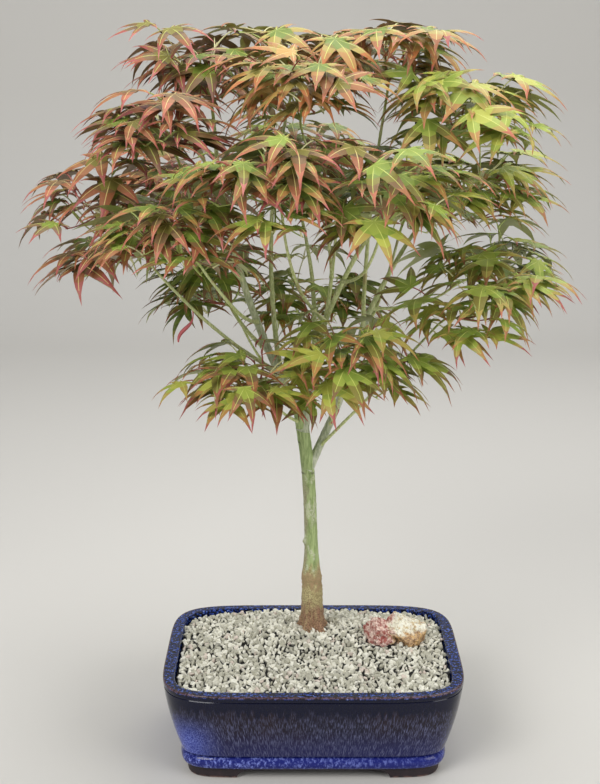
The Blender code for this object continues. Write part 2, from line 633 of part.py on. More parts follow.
def shoot(k, seed, stem, middle, half):
    """Shoot number k of a mass: its path, and its leaves as (foot, joint, heading, normal, size).

    Shoots leave the stem by the golden angle, the outer ones lower down. Each ends in a pair of leaves,
    and has one or two more on the way."""
    rng = random.Random(seed * 1000 + k)
    spread = math.sqrt(((k * 0.618 + 0.3) % 1.0) * 0.92 + 0.04)
    turn = seed + k * GOLDEN + rng.uniform(-0.3, 0.3)
    out = Vector((math.cos(turn), math.sin(turn), 0))
    lift = SHOOT_RISE * math.sqrt(1 - spread ** 2) - SHOOT_DROP + rng.uniform(-0.22, 0.12)
    reach = spread * SHOOT_REACH
    end = middle + Vector((out.x * half.x * reach, out.y * half.y * reach, half.z * lift))
    root = stem[1].lerp(stem[2], 1 - 0.75 * spread)
    path = [root, end]
    away = Vector((end.x - TRUNK_X, end.y - TRUNK_Y, 0))
    facing = (out + away.normalized() * OUTWARD).normalized()
    either = rng.choice((-1, 1))
    leaves = []
    for along, side in LEAF_PLACES:
        side = either if side is None else side
        foot = root.lerp(end, along)
        swing = side * rng.uniform(*LEAF_SWING) if side else rng.uniform(-LEAF_WAVER, LEAF_WAVER)
        heading = Matrix.Rotation(swing, 3, "Z") @ facing
        climb = Vector((0, 0, rng.uniform(*PETIOLE_CLIMB)))
        joint = foot + (heading + climb).normalized() * rng.uniform(*PETIOLE_LENGTH)
        tilt = rng.uniform(*LEAF_TILT)
        normal = Vector((0, 0, math.cos(tilt))) + heading * math.sin(tilt)
        leaves.append((foot, joint, heading, normal, rng.uniform(*LEAF_SIZE)))
    return path, leaves


class Clearance:
    """What has been placed so far, and whether a new shape stays clear of it."""

    def __init__(self):
        self.known = []

    def ball(self, shape):
        low = Vector(map(min, *shape[0]))
        high = Vector(map(max, *shape[0]))
        return (low + high) / 2, (high - low).length / 2

    def add(self, shape):
        self.known.append((*self.ball(shape), BVHTree.FromPolygons(*shape)))

    def free(self, shape, start=0):
        middle, radius = self.ball(shape)
        tree = None
        for centre, reach, other in self.known[start:]:
            if (centre - middle).length < reach + radius:
                tree = tree or BVHTree.FromPolygons(*shape)
                if tree.overlap(other):
                    return False
        return True


def make_mass(name, row, material, root, curves, limbs, leaves_placed):
    """Grows one mass and joins it, without the shoots and leaves that leave its space or meet others."""
    bough, middle, half, wanted = row
    middle, half = Vector(middle), Vector(half)
    bough_path, bough_radii = limb_path(curves[bough], bough_build(bough)[1])
    tip, radius = bough_path[-1], bough_radii[-1]
    ahead = (tip - bough_path[-2]).normalized()
    stem = stem_path(tip + ahead * GAP, ahead, middle, half)
    stem_shape = tube(stem, [radius, radius * 0.9, TWIG_R * 1.1], 4)
    mass = recalculated(new_object(name, *stem_shape, material, root))
    seed = SEED + sum(ord(c) for c in name)
    own = [stem_shape]
    inner = Clearance()
    inner.add(stem_shape)
    pieces, made = [], 0
    for k in range(TRIES * wanted):
        if made >= wanted:
            break
        path, leaves = shoot(k, seed, stem, middle, half)
        twig = tube(path, [TWIG_R, TWIG_R * 0.9], 3)
        if not (limbs.free(twig) and leaves_placed.free(twig) and inner.free(twig, 1)):
            continue
        added = []
        for leaf in leaves:
            shape = fitted_leaf(leaf, middle, half, limbs, leaves_placed, inner)
            if shape and made + len(added) < wanted:
                inner.add(shape)
                added.append(shape)
        if not added:
            continue
        inner.add(twig)
        made += len(added)
        own += [twig] + added
        pieces.append(recalculated(new_object(name + "_twig", *twig)))
        pieces += [recalculated(new_object(name + "_leaf", *shape)) for shape in added]
    for shape in own:
        leaves_placed.add(shape)
    bodies = boolean(mass, pieces, "UNION")
    return made, bodies


def fitted_leaf(leaf, middle, half, limbs, others, inner):
    """The leaf, turned or made smaller until it stays in its space and clear of what is there; or None."""
    foot, joint, heading, normal, size = leaf
    for share in FIT_SIZES:
        for twist in FIT_TURNS:
            turned = Matrix.Rotation(twist, 3, "Z") @ heading
            shape = leaf_shape(foot, joint, turned, normal, size * share)
            if not all(within(p, middle, half, SPACE_MARGIN) for p in shape[0][:2 * len(LOBES) + 1]):
                continue
            guard = leaf_shape(foot, joint, turned, normal, size * share * 1.02, LEAF_THICK * 2)
            blade = leaf_shape(foot.lerp(joint, 0.3), joint, turned, normal, size * share)
            if limbs.free(guard) and others.free(guard) and inner.free(blade):
                return shape
    return None


def smooth(obj, degrees):
    obj.data.shade_smooth()
    obj.data.set_sharp_from_angle(angle=math.radians(degrees))


def centre_on_origin(root):
    """Moves the root so that the origin is under the middle of the plant's outer box."""
    bpy.context.view_layer.update()
    low, high = Vector((1e9,) * 3), Vector((-1e9,) * 3)
    for obj in bpy.data.objects:
        if obj.type == "MESH":
            for vert in obj.data.vertices:
                low = Vector(map(min, low, vert.co))
                high = Vector(map(max, high, vert.co))
    root.location = (-(low.x + high.x) / 2, -(low.y + high.y) / 2, 0)
    return low, high


def main():
    clear_scene()
    paint = make_materials()
    root = bpy.data.objects.new("bonsai", None)
    bpy.context.scene.collection.objects.link(root)
    make_pot(paint["glaze"], root)
    gravel = make_gravel(paint["gravel"], root)
    make_stone(paint["stone"], gravel, root)
    add_grains(gravel)
    make_trunk(paint["bark"], root)
    curves = limb_curves()
    limbs = make_boughs(paint["twig"], root, curves)
    placed, total = Clearance(), 0
    for mass, row in MASSES.items():
        name, middle = "leaves_" + mass, row[1]
        look = "leaf_green"
        if middle[0] < RED_LEFT_OF:
            look = "leaf_red"
        elif middle[2] > ORANGE_ABOVE:
            look = "leaf_orange"
        count, bodies = make_mass(name, row, paint[look], root, curves, limbs, placed)
        total += count
        faces = sum(len(p.vertices) - 2 for p in bpy.data.objects[name].data.polygons)
        print(name, count, "leaves of", row[3], "-", faces, "triangles, bodies", bodies)
    low, high = centre_on_origin(root)
    print(total, "leaves; box", [round(v * 1000, 1) for v in (*low, *high)], "moved by", root.location[:])


main()
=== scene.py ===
import json
import math
import random

import bmesh
import bpy
from mathutils import Matrix, Vector, noise
from mathutils.bvhtree import BVHTree
from mathutils.kdtree import KDTree

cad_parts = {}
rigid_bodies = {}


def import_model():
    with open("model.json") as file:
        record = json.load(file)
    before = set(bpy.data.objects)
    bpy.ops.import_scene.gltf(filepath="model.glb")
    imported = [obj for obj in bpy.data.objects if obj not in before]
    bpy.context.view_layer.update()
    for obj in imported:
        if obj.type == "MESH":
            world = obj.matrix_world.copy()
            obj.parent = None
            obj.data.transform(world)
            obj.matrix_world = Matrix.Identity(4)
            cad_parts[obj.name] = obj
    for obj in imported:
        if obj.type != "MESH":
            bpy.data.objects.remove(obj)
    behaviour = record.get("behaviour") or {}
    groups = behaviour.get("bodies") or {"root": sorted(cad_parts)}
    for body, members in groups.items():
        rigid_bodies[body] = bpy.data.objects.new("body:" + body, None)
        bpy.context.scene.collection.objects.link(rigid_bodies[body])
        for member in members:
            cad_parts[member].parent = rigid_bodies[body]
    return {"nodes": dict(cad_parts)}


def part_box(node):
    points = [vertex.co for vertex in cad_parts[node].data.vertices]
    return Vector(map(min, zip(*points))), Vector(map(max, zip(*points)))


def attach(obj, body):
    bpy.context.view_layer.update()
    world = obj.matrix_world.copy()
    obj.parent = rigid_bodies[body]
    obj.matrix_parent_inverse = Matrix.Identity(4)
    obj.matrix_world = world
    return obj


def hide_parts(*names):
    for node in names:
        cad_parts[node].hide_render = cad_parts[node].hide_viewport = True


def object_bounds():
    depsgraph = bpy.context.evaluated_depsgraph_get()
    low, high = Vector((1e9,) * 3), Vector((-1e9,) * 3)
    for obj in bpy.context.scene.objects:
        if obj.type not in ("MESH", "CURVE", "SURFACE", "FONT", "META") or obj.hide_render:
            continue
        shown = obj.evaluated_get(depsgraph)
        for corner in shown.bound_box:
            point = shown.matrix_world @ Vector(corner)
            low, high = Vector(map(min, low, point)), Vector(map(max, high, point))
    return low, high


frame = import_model()
cadLow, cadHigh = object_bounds()
scene = bpy.context.scene
noise.seed_set(11)  # noise_vector would otherwise differ from run to run
potLow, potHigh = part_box("pot")
# everything is laid out about the middle of the pot, then moved by this
plantShift = Vector(((potLow.x + potHigh.x) / 2, (potLow.y + potHigh.y) / 2, 0.0))
goldenTurn = math.radians(137.508)


def tone(code):
    # a screen colour such as "#8090a0" as linear light, opaque
    parts = [int(code[k:k + 2], 16) / 255 for k in (1, 3, 5)]
    return (*(p / 12.92 if p <= 0.04045 else ((p + 0.055) / 1.055) ** 2.4 for p in parts), 1.0)


class Wiring:
    # writes a node tree: most calls add one node and return the output that is used most
    def __init__(self, tree):
        self.tree = tree
        self.shader = tree.nodes.get("Principled BSDF")

    def node(self, kind, sockets=None, **settings):
        made = self.tree.nodes.new(kind)
        for key, value in settings.items():
            setattr(made, key, value)
        self.join(made, sockets or {})
        return made

    def out(self, kind, sockets=None, **settings):
        return self.node(kind, sockets, **settings).outputs[0]

    def join(self, made, sockets):
        # a socket takes another node's output, a colour code or a plain value
        for key, value in sockets.items():
            if isinstance(value, bpy.types.NodeSocket):
                self.tree.links.new(value, made.inputs[key])
            elif isinstance(value, str) and value.startswith("#"):
                made.inputs[key].default_value = tone(value)
            else:
                made.inputs[key].default_value = value

    def paint(self, colour, gloss, relief):
        self.join(self.shader, {"Base Color": colour, "Roughness": gloss, "Normal": relief})

    def place(self, stretch=(1, 1, 1), shift=(0, 0, 0)):
        seen = self.node("ShaderNodeTexCoord").outputs["Object"]
        return self.out("ShaderNodeMapping", {"Vector": seen, "Scale": stretch, "Location": shift})

    def split(self, where):
        return self.node("ShaderNodeSeparateXYZ", {0: where}).outputs

    def noise(self, where, scale, detail, rough=0.55, warp=0.0):
        sockets = {"Vector": where, "Scale": scale, "Detail": detail, "Roughness": rough, "Distortion": warp}
        return self.out("ShaderNodeTexNoise", sockets)

    def mottle(self, scale, detail, rough=0.55, upright=1.0, warp=0.0):
        # noise over the object, drawn out along its height where upright is below 1
        return self.noise(self.place(stretch=(1, 1, upright)), scale, detail, rough, warp)

    def cells(self, scale, upright=1.0):
        where = self.place(stretch=(1, 1, upright))
        return self.out("ShaderNodeTexVoronoi", {"Vector": where, "Scale": scale})

    def between(self, value, low, high, toLow=0.0, toHigh=1.0):
        sockets = {"Value": value, "From Min": low, "From Max": high, "To Min": toLow, "To Max": toHigh}
        return self.out("ShaderNodeMapRange", sockets, interpolation_type="SMOOTHSTEP")

    def maths(self, operation, a, b):
        return self.out("ShaderNodeMath", {0: a, 1: b}, operation=operation)

    def times(self, a, b):
        return self.maths("MULTIPLY", a, b)

    def plus(self, a, b):
        return self.maths("ADD", a, b)

    def mix(self, share, a, b):
        return self.node("ShaderNodeMix", {0: share, 6: a, 7: b}, data_type="RGBA").outputs[2]

    def fade(self, value, low, high, a, b, most=1.0):
        # colour a where the value is low, turning to b where it is high
        return self.mix(self.between(value, low, high, 0.0, most), a, b)

    def bump(self, height, distance, strength=1.0):
        sockets = {"Height": height, "Distance": distance, "Strength": strength}
        return self.out("ShaderNodeBump", sockets)

    def attribute(self, name):
        return self.node("ShaderNodeAttribute", attribute_name=name).outputs["Fac"]


def newMaterial(name, colour, roughness):
    material = bpy.data.materials.new(name)
    material.use_nodes = True
    material.diffuse_color = tone(colour)
    w = Wiring(material.node_tree)
    w.join(w.shader, {"Base Color": colour, "Roughness": roughness})
    return material, w


def grainGroup():
    # fine relief and uneven gloss, shared by everything that grows
    tree = bpy.data.node_groups.new("surfaceGrain", "ShaderNodeTree")
    for name in ("Scale", "Depth", "Roughness Low", "Roughness High"):
        tree.interface.new_socket(name, in_out="INPUT", socket_type="NodeSocketFloat")
    tree.interface.new_socket("Roughness", in_out="OUTPUT", socket_type="NodeSocketFloat")
    tree.interface.new_socket("Normal", in_out="OUTPUT", socket_type="NodeSocketVector")
    w = Wiring(tree)
    given = w.node("NodeGroupInput").outputs
    fine = w.mottle(given["Scale"], 4.0)
    ranged = w.out("ShaderNodeMapRange", {
        "Value": fine, "From Min": 0.3, "From Max": 0.7,
        "To Min": given["Roughness Low"], "To Max": given["Roughness High"]})
    w.node("NodeGroupOutput", {"Roughness": ranged, "Normal": w.bump(fine, given["Depth"])})
    return tree


surfaceGrain = grainGroup()


def grained(name, colour, scale, depth, low, high):
    # a plain colour with the shared grain on its gloss and relief
    material, w = newMaterial(name, colour, (low + high) / 2)
    sockets = {"Scale": scale, "Depth": depth, "Roughness Low": low, "Roughness High": high}
    made = w.node("ShaderNodeGroup", sockets, node_tree=surfaceGrain).outputs
    w.join(w.shader, {"Roughness": made["Roughness"], "Normal": made["Normal"]})
    return material


def linked(name, data):
    made = bpy.data.objects.new(name, data)
    scene.collection.objects.link(made)
    return made


def meshOf(work, name):
    # what a bmesh holds, as a plain mesh
    mesh = bpy.data.meshes.new(name)
    work.to_mesh(mesh)
    work.free()
    return mesh


def smoothed(mesh, sharpFrom):
    mesh.shade_smooth()
    mesh.set_sharp_from_angle(angle=math.radians(sharpFrom))


def setMarks(mesh, name, values):
    mesh.attributes.new(name, "FLOAT", "POINT").data.foreach_set("value", values)


class Skin:
    # collects closed shapes that become one mesh, with a material number for each face
    def __init__(self):
        self.verts, self.faces, self.tints, self.marks = [], [], [], []

    def add(self, verts, faces, tints=0, marks=0.0):
        start = len(self.verts)
        self.verts += verts
        self.faces += [tuple(start + k for k in face) for face in faces]
        self.tints += tints if isinstance(tints, list) else [tints] * len(faces)
        self.marks += marks if isinstance(marks, list) else [marks] * len(verts)

    def build(self, name, materials, mark=None, sharpFrom=60):
        mesh = bpy.data.meshes.new(name)
        mesh.from_pydata([tuple(v + plantShift) for v in self.verts], [], self.faces)
        for material in materials:
            mesh.materials.append(material)
        mesh.polygons.foreach_set("material_index", self.tints)
        if mark:
            setMarks(mesh, mark, self.marks)
        smoothed(mesh, sharpFrom)
        mesh.update()
        return linked(name, mesh)


def finished(piece, slot, *replaced):
    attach(piece, "root")
    if replaced:
        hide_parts(*replaced)
    count = sum(len(p.vertices) - 2 for p in piece.data.polygons)
    print("made", piece.name, "with", count, "triangles")


def loft(rings):
    # a closed skin through rings of points
    count = len(rings[0])
    verts = [p for ring in rings for p in ring]
    faces = [tuple(reversed(range(count)))]
    for low in range(0, (len(rings) - 1) * count, count):
        for k in range(count):
            after = (k + 1) % count
            faces.append((low + k, low + after, low + count + after, low + count + k))
    faces.append(tuple(range((len(rings) - 1) * count, len(rings) * count)))
    return verts, faces


# The pot: the source's profile with its soft edges, roll and groove drawn out finely.
potShape = {
    "halfX": 0.127, "halfY": 0.097, "height": 0.083,
    "power": 5.5, "cornerGain": 170, "segments": 168, "bearingSteps": 6000,
    "rimWidth": 0.0105, "rimHeight": 0.0055, "wall": 0.0085, "wallLevels": (0.056, 0.030),
    "bellyIn": 0.0155, "bellyPower": 1.5, "rollTop": 0.021, "rollIn": 0.0170, "rollOut": 0.0024,
    "bandTop": 0.0095, "bandIn": 0.0200, "soft": 0.0015, "floor": 0.0165,
    "footHeight": 0.0075, "footSlope": 0.008, "footSweep": 0.004, "footReach": 0.2, "footBelow": 0.004,
    "footGaps": ((0.056, True), (0.036, False)),  # half width, and whether the gap runs front to back
}


def bellyInset(z):
    drop = (potShape["height"] - z) / (potShape["height"] - potShape["rollTop"])
    return potShape["bellyIn"] * max(0.0, drop) ** potShape["bellyPower"]


def planPoint(angle, inset):
    # a point of the pot's outline seen from above, drawn in by this much
    power = 2 / (potShape["power"] + potShape["cornerGain"] * inset)
    c, s = math.cos(angle), math.sin(angle)
    return ((potShape["halfX"] - inset) * math.copysign(abs(c) ** power, c),
            (potShape["halfY"] - inset) * math.copysign(abs(s) ** power, s))


def withinPlan(x, y, inset):
    across, deep = abs(x) / (potShape["halfX"] - inset), abs(y) / (potShape["halfY"] - inset)
    return across ** potShape["power"] + deep ** potShape["power"] < 1


def planBearings():
    # bearings that space the points evenly along the rim
    steps, count = potShape["bearingSteps"], potShape["segments"]
    walked, last, lengths = 0.0, None, []
    for k in range(steps + 1):
        angle = 2 * math.pi * k / steps
        here = Vector(planPoint(angle, 0.0))
        walked += (here - last).length if last else 0.0
        last = here
        lengths.append((walked, angle))
    found, at = [], 0
    for k in range(count):
        while lengths[at][0] < walked * (k + 0.5) / count:
            at += 1
        found.append(lengths[at][1])
    return found


rimBearings = planBearings()


def potRing(z, inset):
    return [Vector((*planPoint(angle, inset), z)) for angle in rimBearings]


def potProfile():
    # height and inset of each ring, up the outside and down the inside
    p = potShape
    soft, top = p["soft"], p["height"]
    quarter = [math.radians(18 * k) for k in range(6)]
    outside = [(0.0, p["bandIn"] + soft), (soft * 0.4, p["bandIn"] + soft * 0.25), (soft, p["bandIn"])]
    outside += [(p["bandTop"] - 0.0006, p["bandIn"]), (p["bandTop"], p["bandIn"] - 0.0005)]
    rollFoot, rollHead = p["bandTop"] + 0.0004, p["rollTop"] - 0.0010
    for t in (k / 10 for k in range(11)):  # the roll round the foot of the belly
        bulge = p["rollOut"] * math.sin(math.pi * t) ** 0.7
        outside.append((rollFoot + (rollHead - rollFoot) * t, p["rollIn"] - bulge))
    outside += [(p["rollTop"] - 0.0004, p["rollIn"] + 0.0007), (p["rollTop"] + 0.0006, p["rollIn"] + 0.0005)]
    rimBottom = top - p["rimHeight"]
    for k in range(25):
        z = p["rollTop"] + 0.0018 + (rimBottom - 0.0006 - p["rollTop"] - 0.0018) * k / 24
        outside.append((z, bellyInset(z)))
    outside += [(rimBottom, bellyInset(rimBottom) + soft * 0.45), (rimBottom + soft * 0.5, soft * 0.25)]
    outside += [(rimBottom + soft, 0.0), (top - soft, 0.0)]
    outside += [(top - soft + soft * math.sin(a), soft - soft * math.cos(a)) for a in quarter[1:]]
    inside = [(top - 0.0001, p["rimWidth"] * 0.3), (top - 0.0001, p["rimWidth"] * 0.6)]
    inside += [(top - soft + soft * math.cos(a), p["rimWidth"] - soft + soft * math.sin(a)) for a in quarter]
    inside += [(z, bellyInset(z) + p["wall"]) for z in p["wallLevels"]]
    inside.append((p["floor"], p["rollIn"] + p["wall"]))
    return outside + inside


def footRecess(halfWidth, alongY):
    # the gap between two feet, with ends that sweep up into the pot's underside
    p = potShape
    side = [(halfWidth + p["footSlope"], -p["footBelow"])]
    for t in (math.pi / 2 * k / 6 for k in range(7)):
        across = halfWidth + p["footSlope"] - (p["footSlope"] + p["footSweep"]) * (1 - math.cos(t))
        side.append((across, p["footHeight"] * math.sin(t)))
    section = side + [(-across, z) for across, z in reversed(side)]
    return loft([[Vector((across, end, z) if alongY else (end, across, z)) for across, z in section]
                 for end in (-p["footReach"], p["footReach"])])


def plainObject(name, verts, faces):
    mesh = bpy.data.meshes.new(name)
    mesh.from_pydata([tuple(v + plantShift) for v in verts], [], faces)
    work = bmesh.new()
    work.from_mesh(mesh)
    bmesh.ops.recalc_face_normals(work, faces=work.faces)
    return linked(name, meshOf(work, name))


def applyModifiers(piece):
    graph = bpy.context.evaluated_depsgraph_get()
    graph.update()
    made = bpy.data.meshes.new_from_object(piece.evaluated_get(graph))
    piece.modifiers.clear()
    piece.data = made


def combine(piece, others, operation):
    for other in others:
        modifier = piece.modifiers.new("cut", "BOOLEAN")
        modifier.operation = operation
        modifier.object = other
    applyModifiers(piece)
    for other in others:
        bpy.data.objects.remove(other, do_unlink=True)


def glazeMaterial():
    material, w = newMaterial("cobaltGlaze", "#1a2350", 0.1)
    x, y, z = w.split(w.place(shift=tuple(-plantShift)))
    inner = w.attribute("inner")
    drawnIn = w.attribute("drawnIn")
    # the streaks run down the belly, also where it draws in
    plan = {"Z": w.times(z, 0.10)}
    for axis, across, half in (("X", x, "halfX"), ("Y", y, "halfY")):
        narrowed = w.maths("SUBTRACT", 1.0, w.maths("DIVIDE", drawnIn, potShape[half]))
        plan[axis] = w.maths("DIVIDE", across, narrowed)
    streaks = w.noise(w.out("ShaderNodeCombineXYZ", plan), 1700, 3.0, 0.6)
    broad = w.mottle(26, 3.0, upright=0.22)
    drips = w.mottle(210, 3.0, 0.6, 0.05)
    speckle = w.mottle(400, 4.0, 0.7)
    flecks = w.mottle(1500, 2.0, 0.6, 0.5)
    # the body runs from plum brown under the rim to indigo at the foot
    body = w.fade(broad, 0.35, 0.65, "#20131b", "#161326")
    body = w.fade(z, 0.056, 0.024, body, "#1a1e58", 0.8)
    lively = w.between(z, 0.069, 0.050, 0.35, 0.85)
    body = w.mix(w.times(w.between(streaks, 0.48, 0.66), lively), body, "#686c90")
    # one lower corner is flooded with periwinkle
    corner = w.times(w.between(x, -0.070, -0.108), w.between(z, 0.066, 0.032))
    corner = w.times(corner, w.between(broad, 0.28, 0.52, 0.3, 1.0))
    body = w.mix(w.times(corner, 0.9), body, w.fade(flecks, 0.45, 0.62, "#2f3d9c", "#7c8ce2"))
    # a navy band hangs from the rim, with a ragged lower edge
    ragged = w.plus(z, w.between(drips, 0.3, 0.7, -0.005, 0.005))
    body = w.fade(ragged, 0.0640, 0.0690, body, "#070b26", 0.95)
    # foam on the roll, painted shade in the groove over it and painted shade on the ledge under it
    foam = w.times(w.between(w.mottle(420, 4.0, 0.7, 0.6), 0.47, 0.68), w.between(x, 0.10, -0.11, 0.45, 1.0))
    body = w.fade(z, 0.0236, 0.0212, body, w.mix(foam, "#1a2270", "#8390dc"))
    # painted shade in the groove over the roll
    grooveShade = w.times(w.between(z, 0.0200, 0.0209), w.between(z, 0.0232, 0.0222))
    body = w.mix(w.times(grooveShade, 0.6), body, "#10102c")
    # painted shade on the ledge under the roll
    body = w.fade(z, 0.0112, 0.0102, body, "#171331", 0.7)
    # the rim is speckled, and bare clay shows through along its outer edge
    rim = w.fade(speckle, 0.48, 0.61, "#04071c", "#2549a8")
    rim = w.mix(w.times(w.between(flecks, 0.54, 0.64), w.between(speckle, 0.54, 0.62)), rim, "#b4c8f2")
    body = w.mix(w.maths("MAXIMUM", w.between(z, 0.0806, 0.0815), inner), body, rim)
    lip = w.times(w.between(z, 0.0814, 0.0819), w.maths("SUBTRACT", 1.0, inner))
    body = w.mix(w.times(lip, w.between(speckle, 0.36, 0.60, 0.10, 0.80)), body, "#6f5348")
    w.paint(body, w.between(speckle, 0.3, 0.7, 0.06, 0.14), w.bump(w.mottle(60, 2.0), 0.0006, 0.6))
    w.join(w.shader, {"Specular IOR Level": 0.26, "Coat Weight": 0.10, "Coat Roughness": 0.04})
    return material


def bareClayMaterial():
    material, w = newMaterial("bareClay", "#2a1d24", 0.6)
    worn = w.mottle(140, 4.0, 0.65)
    z = w.split(w.place())["Z"]
    rub = w.times(w.between(z, 0.0022, 0.0004), w.between(worn, 0.42, 0.58))
    clay = w.mix(w.times(rub, 0.8), w.fade(worn, 0.35, 0.7, "#20161c", "#382a2e"), "#9c7668")
    w.paint(clay, w.between(worn, 0.3, 0.7, 0.45, 0.75), w.bump(w.mottle(900, 4.0), 0.0004, 0.7))
    return material


def makePot():
    p = potShape
    pot = plainObject("glazedPot", *loft([potRing(z, inset) for z, inset in potProfile()]))
    cutters = [plainObject("footRecess", *footRecess(*gap)) for gap in p["footGaps"]]
    combine(pot, cutters, "DIFFERENCE")
    mesh = pot.data
    mesh.materials.clear()
    mesh.materials.append(glazeMaterial())
    mesh.materials.append(bareClayMaterial())
    inner, drawnIn = [], []
    for vert in mesh.vertices:
        x, y, z = vert.co - plantShift
        drawnIn.append(bellyInset(min(max(z, p["rollTop"]), p["height"])))
        onTop = z > p["height"] - p["soft"] * 1.2
        inner.append(1.0 if onTop and withinPlan(x, y, p["soft"] * 0.7) else 0.0)
    setMarks(mesh, "inner", inner)
    setMarks(mesh, "drawnIn", drawnIn)
    for face in mesh.polygons:
        face.material_index = 1 if face.center.z < p["bandTop"] + 0.0003 else 0
    smoothed(mesh, 38)
    finished(pot, "pot_glaze", "pot")


# The gravel: angular grains strewn over the heaped bed, whose dark colour between them is painted shadow.
gravelBed = {
    "ground": 0.090, "edge": 0.0795, "heap": (0.075, 0.050), "trunk": (0.0, 0.035), "seat": 0.0080,
    "spokes": 96, "rings": 16, "wallGap": 0.0012, "sink": 0.0026, "depth": 0.012,
}
grainSettings = {
    "Spacing": 0.0029, "Density": 300000.0, "Smallest": 0.0023, "Largest": 0.0040,
    "Sunk": 0.0008, "Lift": 0.0014, "Seed": 7,
}
grainShapes = {
    "kinds": 9, "points": 12, "seed": 5, "even": (0.82, 1.0),
    "long": (0.85, 1.25), "wide": (0.7, 1.0), "high": (0.5, 0.8),
}
mainGrains = {  # the larger grains that the solid has too
    "spacing": 0.024, "rows": 7, "columns": 9, "shift": 0.25, "half": (0.0040, 0.0034, 0.0028),
    "sizes": (0.8, 1.15), "corners": 12, "rough": 0.15, "sunk": 0.0008, "clear": 0.0065, "seat": 0.0135,
    "seed": 11, "lobes": ((0.007, 0.0, 0.0185), (-0.0145, -0.004, 0.0145)),
}
stonePlace = {
    "at": (0.074, 0.020), "clear": ((0.007, 0.0, 0.0150, 0.0115), (-0.0145, -0.004, 0.0115, 0.0085)),
}


def stretched(point, half):
    return Vector([point[k] * half[k] for k in range(3)])


def anyWay(rng, lift=0.0):
    return Vector((rng.gauss(0, 1), rng.gauss(0, 1), rng.gauss(lift, 1))).normalized()


def gravelHeight(x, y):
    b = gravelBed
    away = math.hypot((x - b["trunk"][0]) / b["heap"][0], (y - b["trunk"][1]) / b["heap"][1])
    return b["edge"] + (b["ground"] - b["edge"]) * math.exp(-away ** 2)


def underStone(x, y):
    sx, sy = stonePlace["at"]
    return any(((x - sx - dx) / rx) ** 2 + ((y - sy - dy) / ry) ** 2 < 1
               for dx, dy, rx, ry in stonePlace["clear"])


def openGravel(x, y):
    # whether a larger grain may lie here: clear of the rim, the trunk and the stone
    g = mainGrains
    if not withinPlan(x, y, potShape["rimWidth"] + g["clear"]):
        return False
    if math.hypot(x - gravelBed["trunk"][0], y - gravelBed["trunk"][1]) < g["seat"] + g["clear"]:
        return False
    sx, sy = stonePlace["at"]
    return all(math.hypot(x - sx - dx, y - sy - dy) >= reach + g["clear"] for dx, dy, reach in g["lobes"])


def mainGrainCorners():
    g = mainGrains
    rng = random.Random(g["seed"])
    grains = []
    for number in range(g["rows"] * g["columns"]):
        row, column = divmod(number, g["columns"])
        x = g["spacing"] * (column - (g["columns"] - 1) / 2 + rng.uniform(-1, 1) * g["shift"])
        y = g["spacing"] * (row - (g["rows"] - 1) / 2 + rng.uniform(-1, 1) * g["shift"])
        size = rng.uniform(*g["sizes"])
        turn = Matrix.Rotation(rng.uniform(0, math.pi), 3, "Z")
        corners = []
        for k in range(g["corners"]):
            up = 1 - (2 * k + 1) / g["corners"]
            out = math.sqrt(1 - up * up)
            point = Vector((out * math.cos(k * goldenTurn), out * math.sin(k * goldenTurn), up)) * size
            point *= 1 - rng.uniform(0, g["rough"])
            corners.append(turn @ stretched(point, g["half"]))
        if openGravel(x, y):
            middle = Vector((x, y, gravelHeight(x, y) - g["sunk"]))
            grains.append([middle + corner for corner in corners])
    return grains


def bedMesh():
    # a closed bed, dark as painted shadow between the grains; its attribute tells on which faces grains are
    # strewn
    b = gravelBed
    edge = potRing(b["edge"], potShape["rimWidth"] + b["wallGap"])
    trunk = Vector((*b["trunk"], 0.0))
    spokes = [edge[round(k * len(edge) / b["spokes"]) % len(edge)] for k in range(b["spokes"])]
    work = bmesh.new()
    strewn = work.faces.layers.float.new("strewn")
    rings = [[work.verts.new(far - Vector((0, 0, b["depth"])) + plantShift) for far in spokes]]
    for r in range(b["rings"] + 1):
        ring = []
        for far in spokes:
            near = trunk + b["seat"] * Vector((far.x - trunk.x, far.y - trunk.y, 0)).normalized()
            x, y = far.lerp(near, r / b["rings"]).xy
            ring.append(work.verts.new(Vector((x, y, gravelHeight(x, y) - b["sink"])) + plantShift))
        rings.append(ring)
    for r in range(len(rings) - 1):
        for k in range(b["spokes"]):
            after = (k + 1) % b["spokes"]
            face = work.faces.new((rings[r][k], rings[r][after], rings[r + 1][after], rings[r + 1][k]))
            middle = face.calc_center_median() - plantShift
            face[strewn] = 0.0 if r == 0 or underStone(middle.x, middle.y) else 1.0
    work.faces.new(tuple(reversed(rings[0])))
    work.faces.new(tuple(rings[-1]))
    for corners in mainGrainCorners():
        hull = bmesh.ops.convex_hull(work, input=[work.verts.new(corner + plantShift) for corner in corners])
        made = [face for face in hull["geom"] if isinstance(face, bmesh.types.BMFace)]
        bmesh.ops.recalc_face_normals(work, faces=made)
        for face in made:
            face.material_index = 1
    return meshOf(work, "gravelGrains")


def grainKinds():
    # a few broken-stone shapes: hulls of points strewn over a flattened ball
    g = grainShapes
    group = bpy.data.collections.new("grainKinds")
    rng = random.Random(g["seed"])
    for k in range(g["kinds"]):
        work = bmesh.new()
        stretch = Vector((rng.uniform(*g["long"]), rng.uniform(*g["wide"]), rng.uniform(*g["high"])))
        for j in range(g["points"]):
            work.verts.new(stretched(anyWay(rng) * rng.uniform(*g["even"]), stretch))
        bmesh.ops.convex_hull(work, input=work.verts)
        loose = [v for v in work.verts if not v.link_faces]
        bmesh.ops.delete(work, geom=loose, context="VERTS")
        bmesh.ops.recalc_face_normals(work, faces=work.faces)
        group.objects.link(bpy.data.objects.new("grain%d" % k, meshOf(work, "grain%d" % k)))
    return group


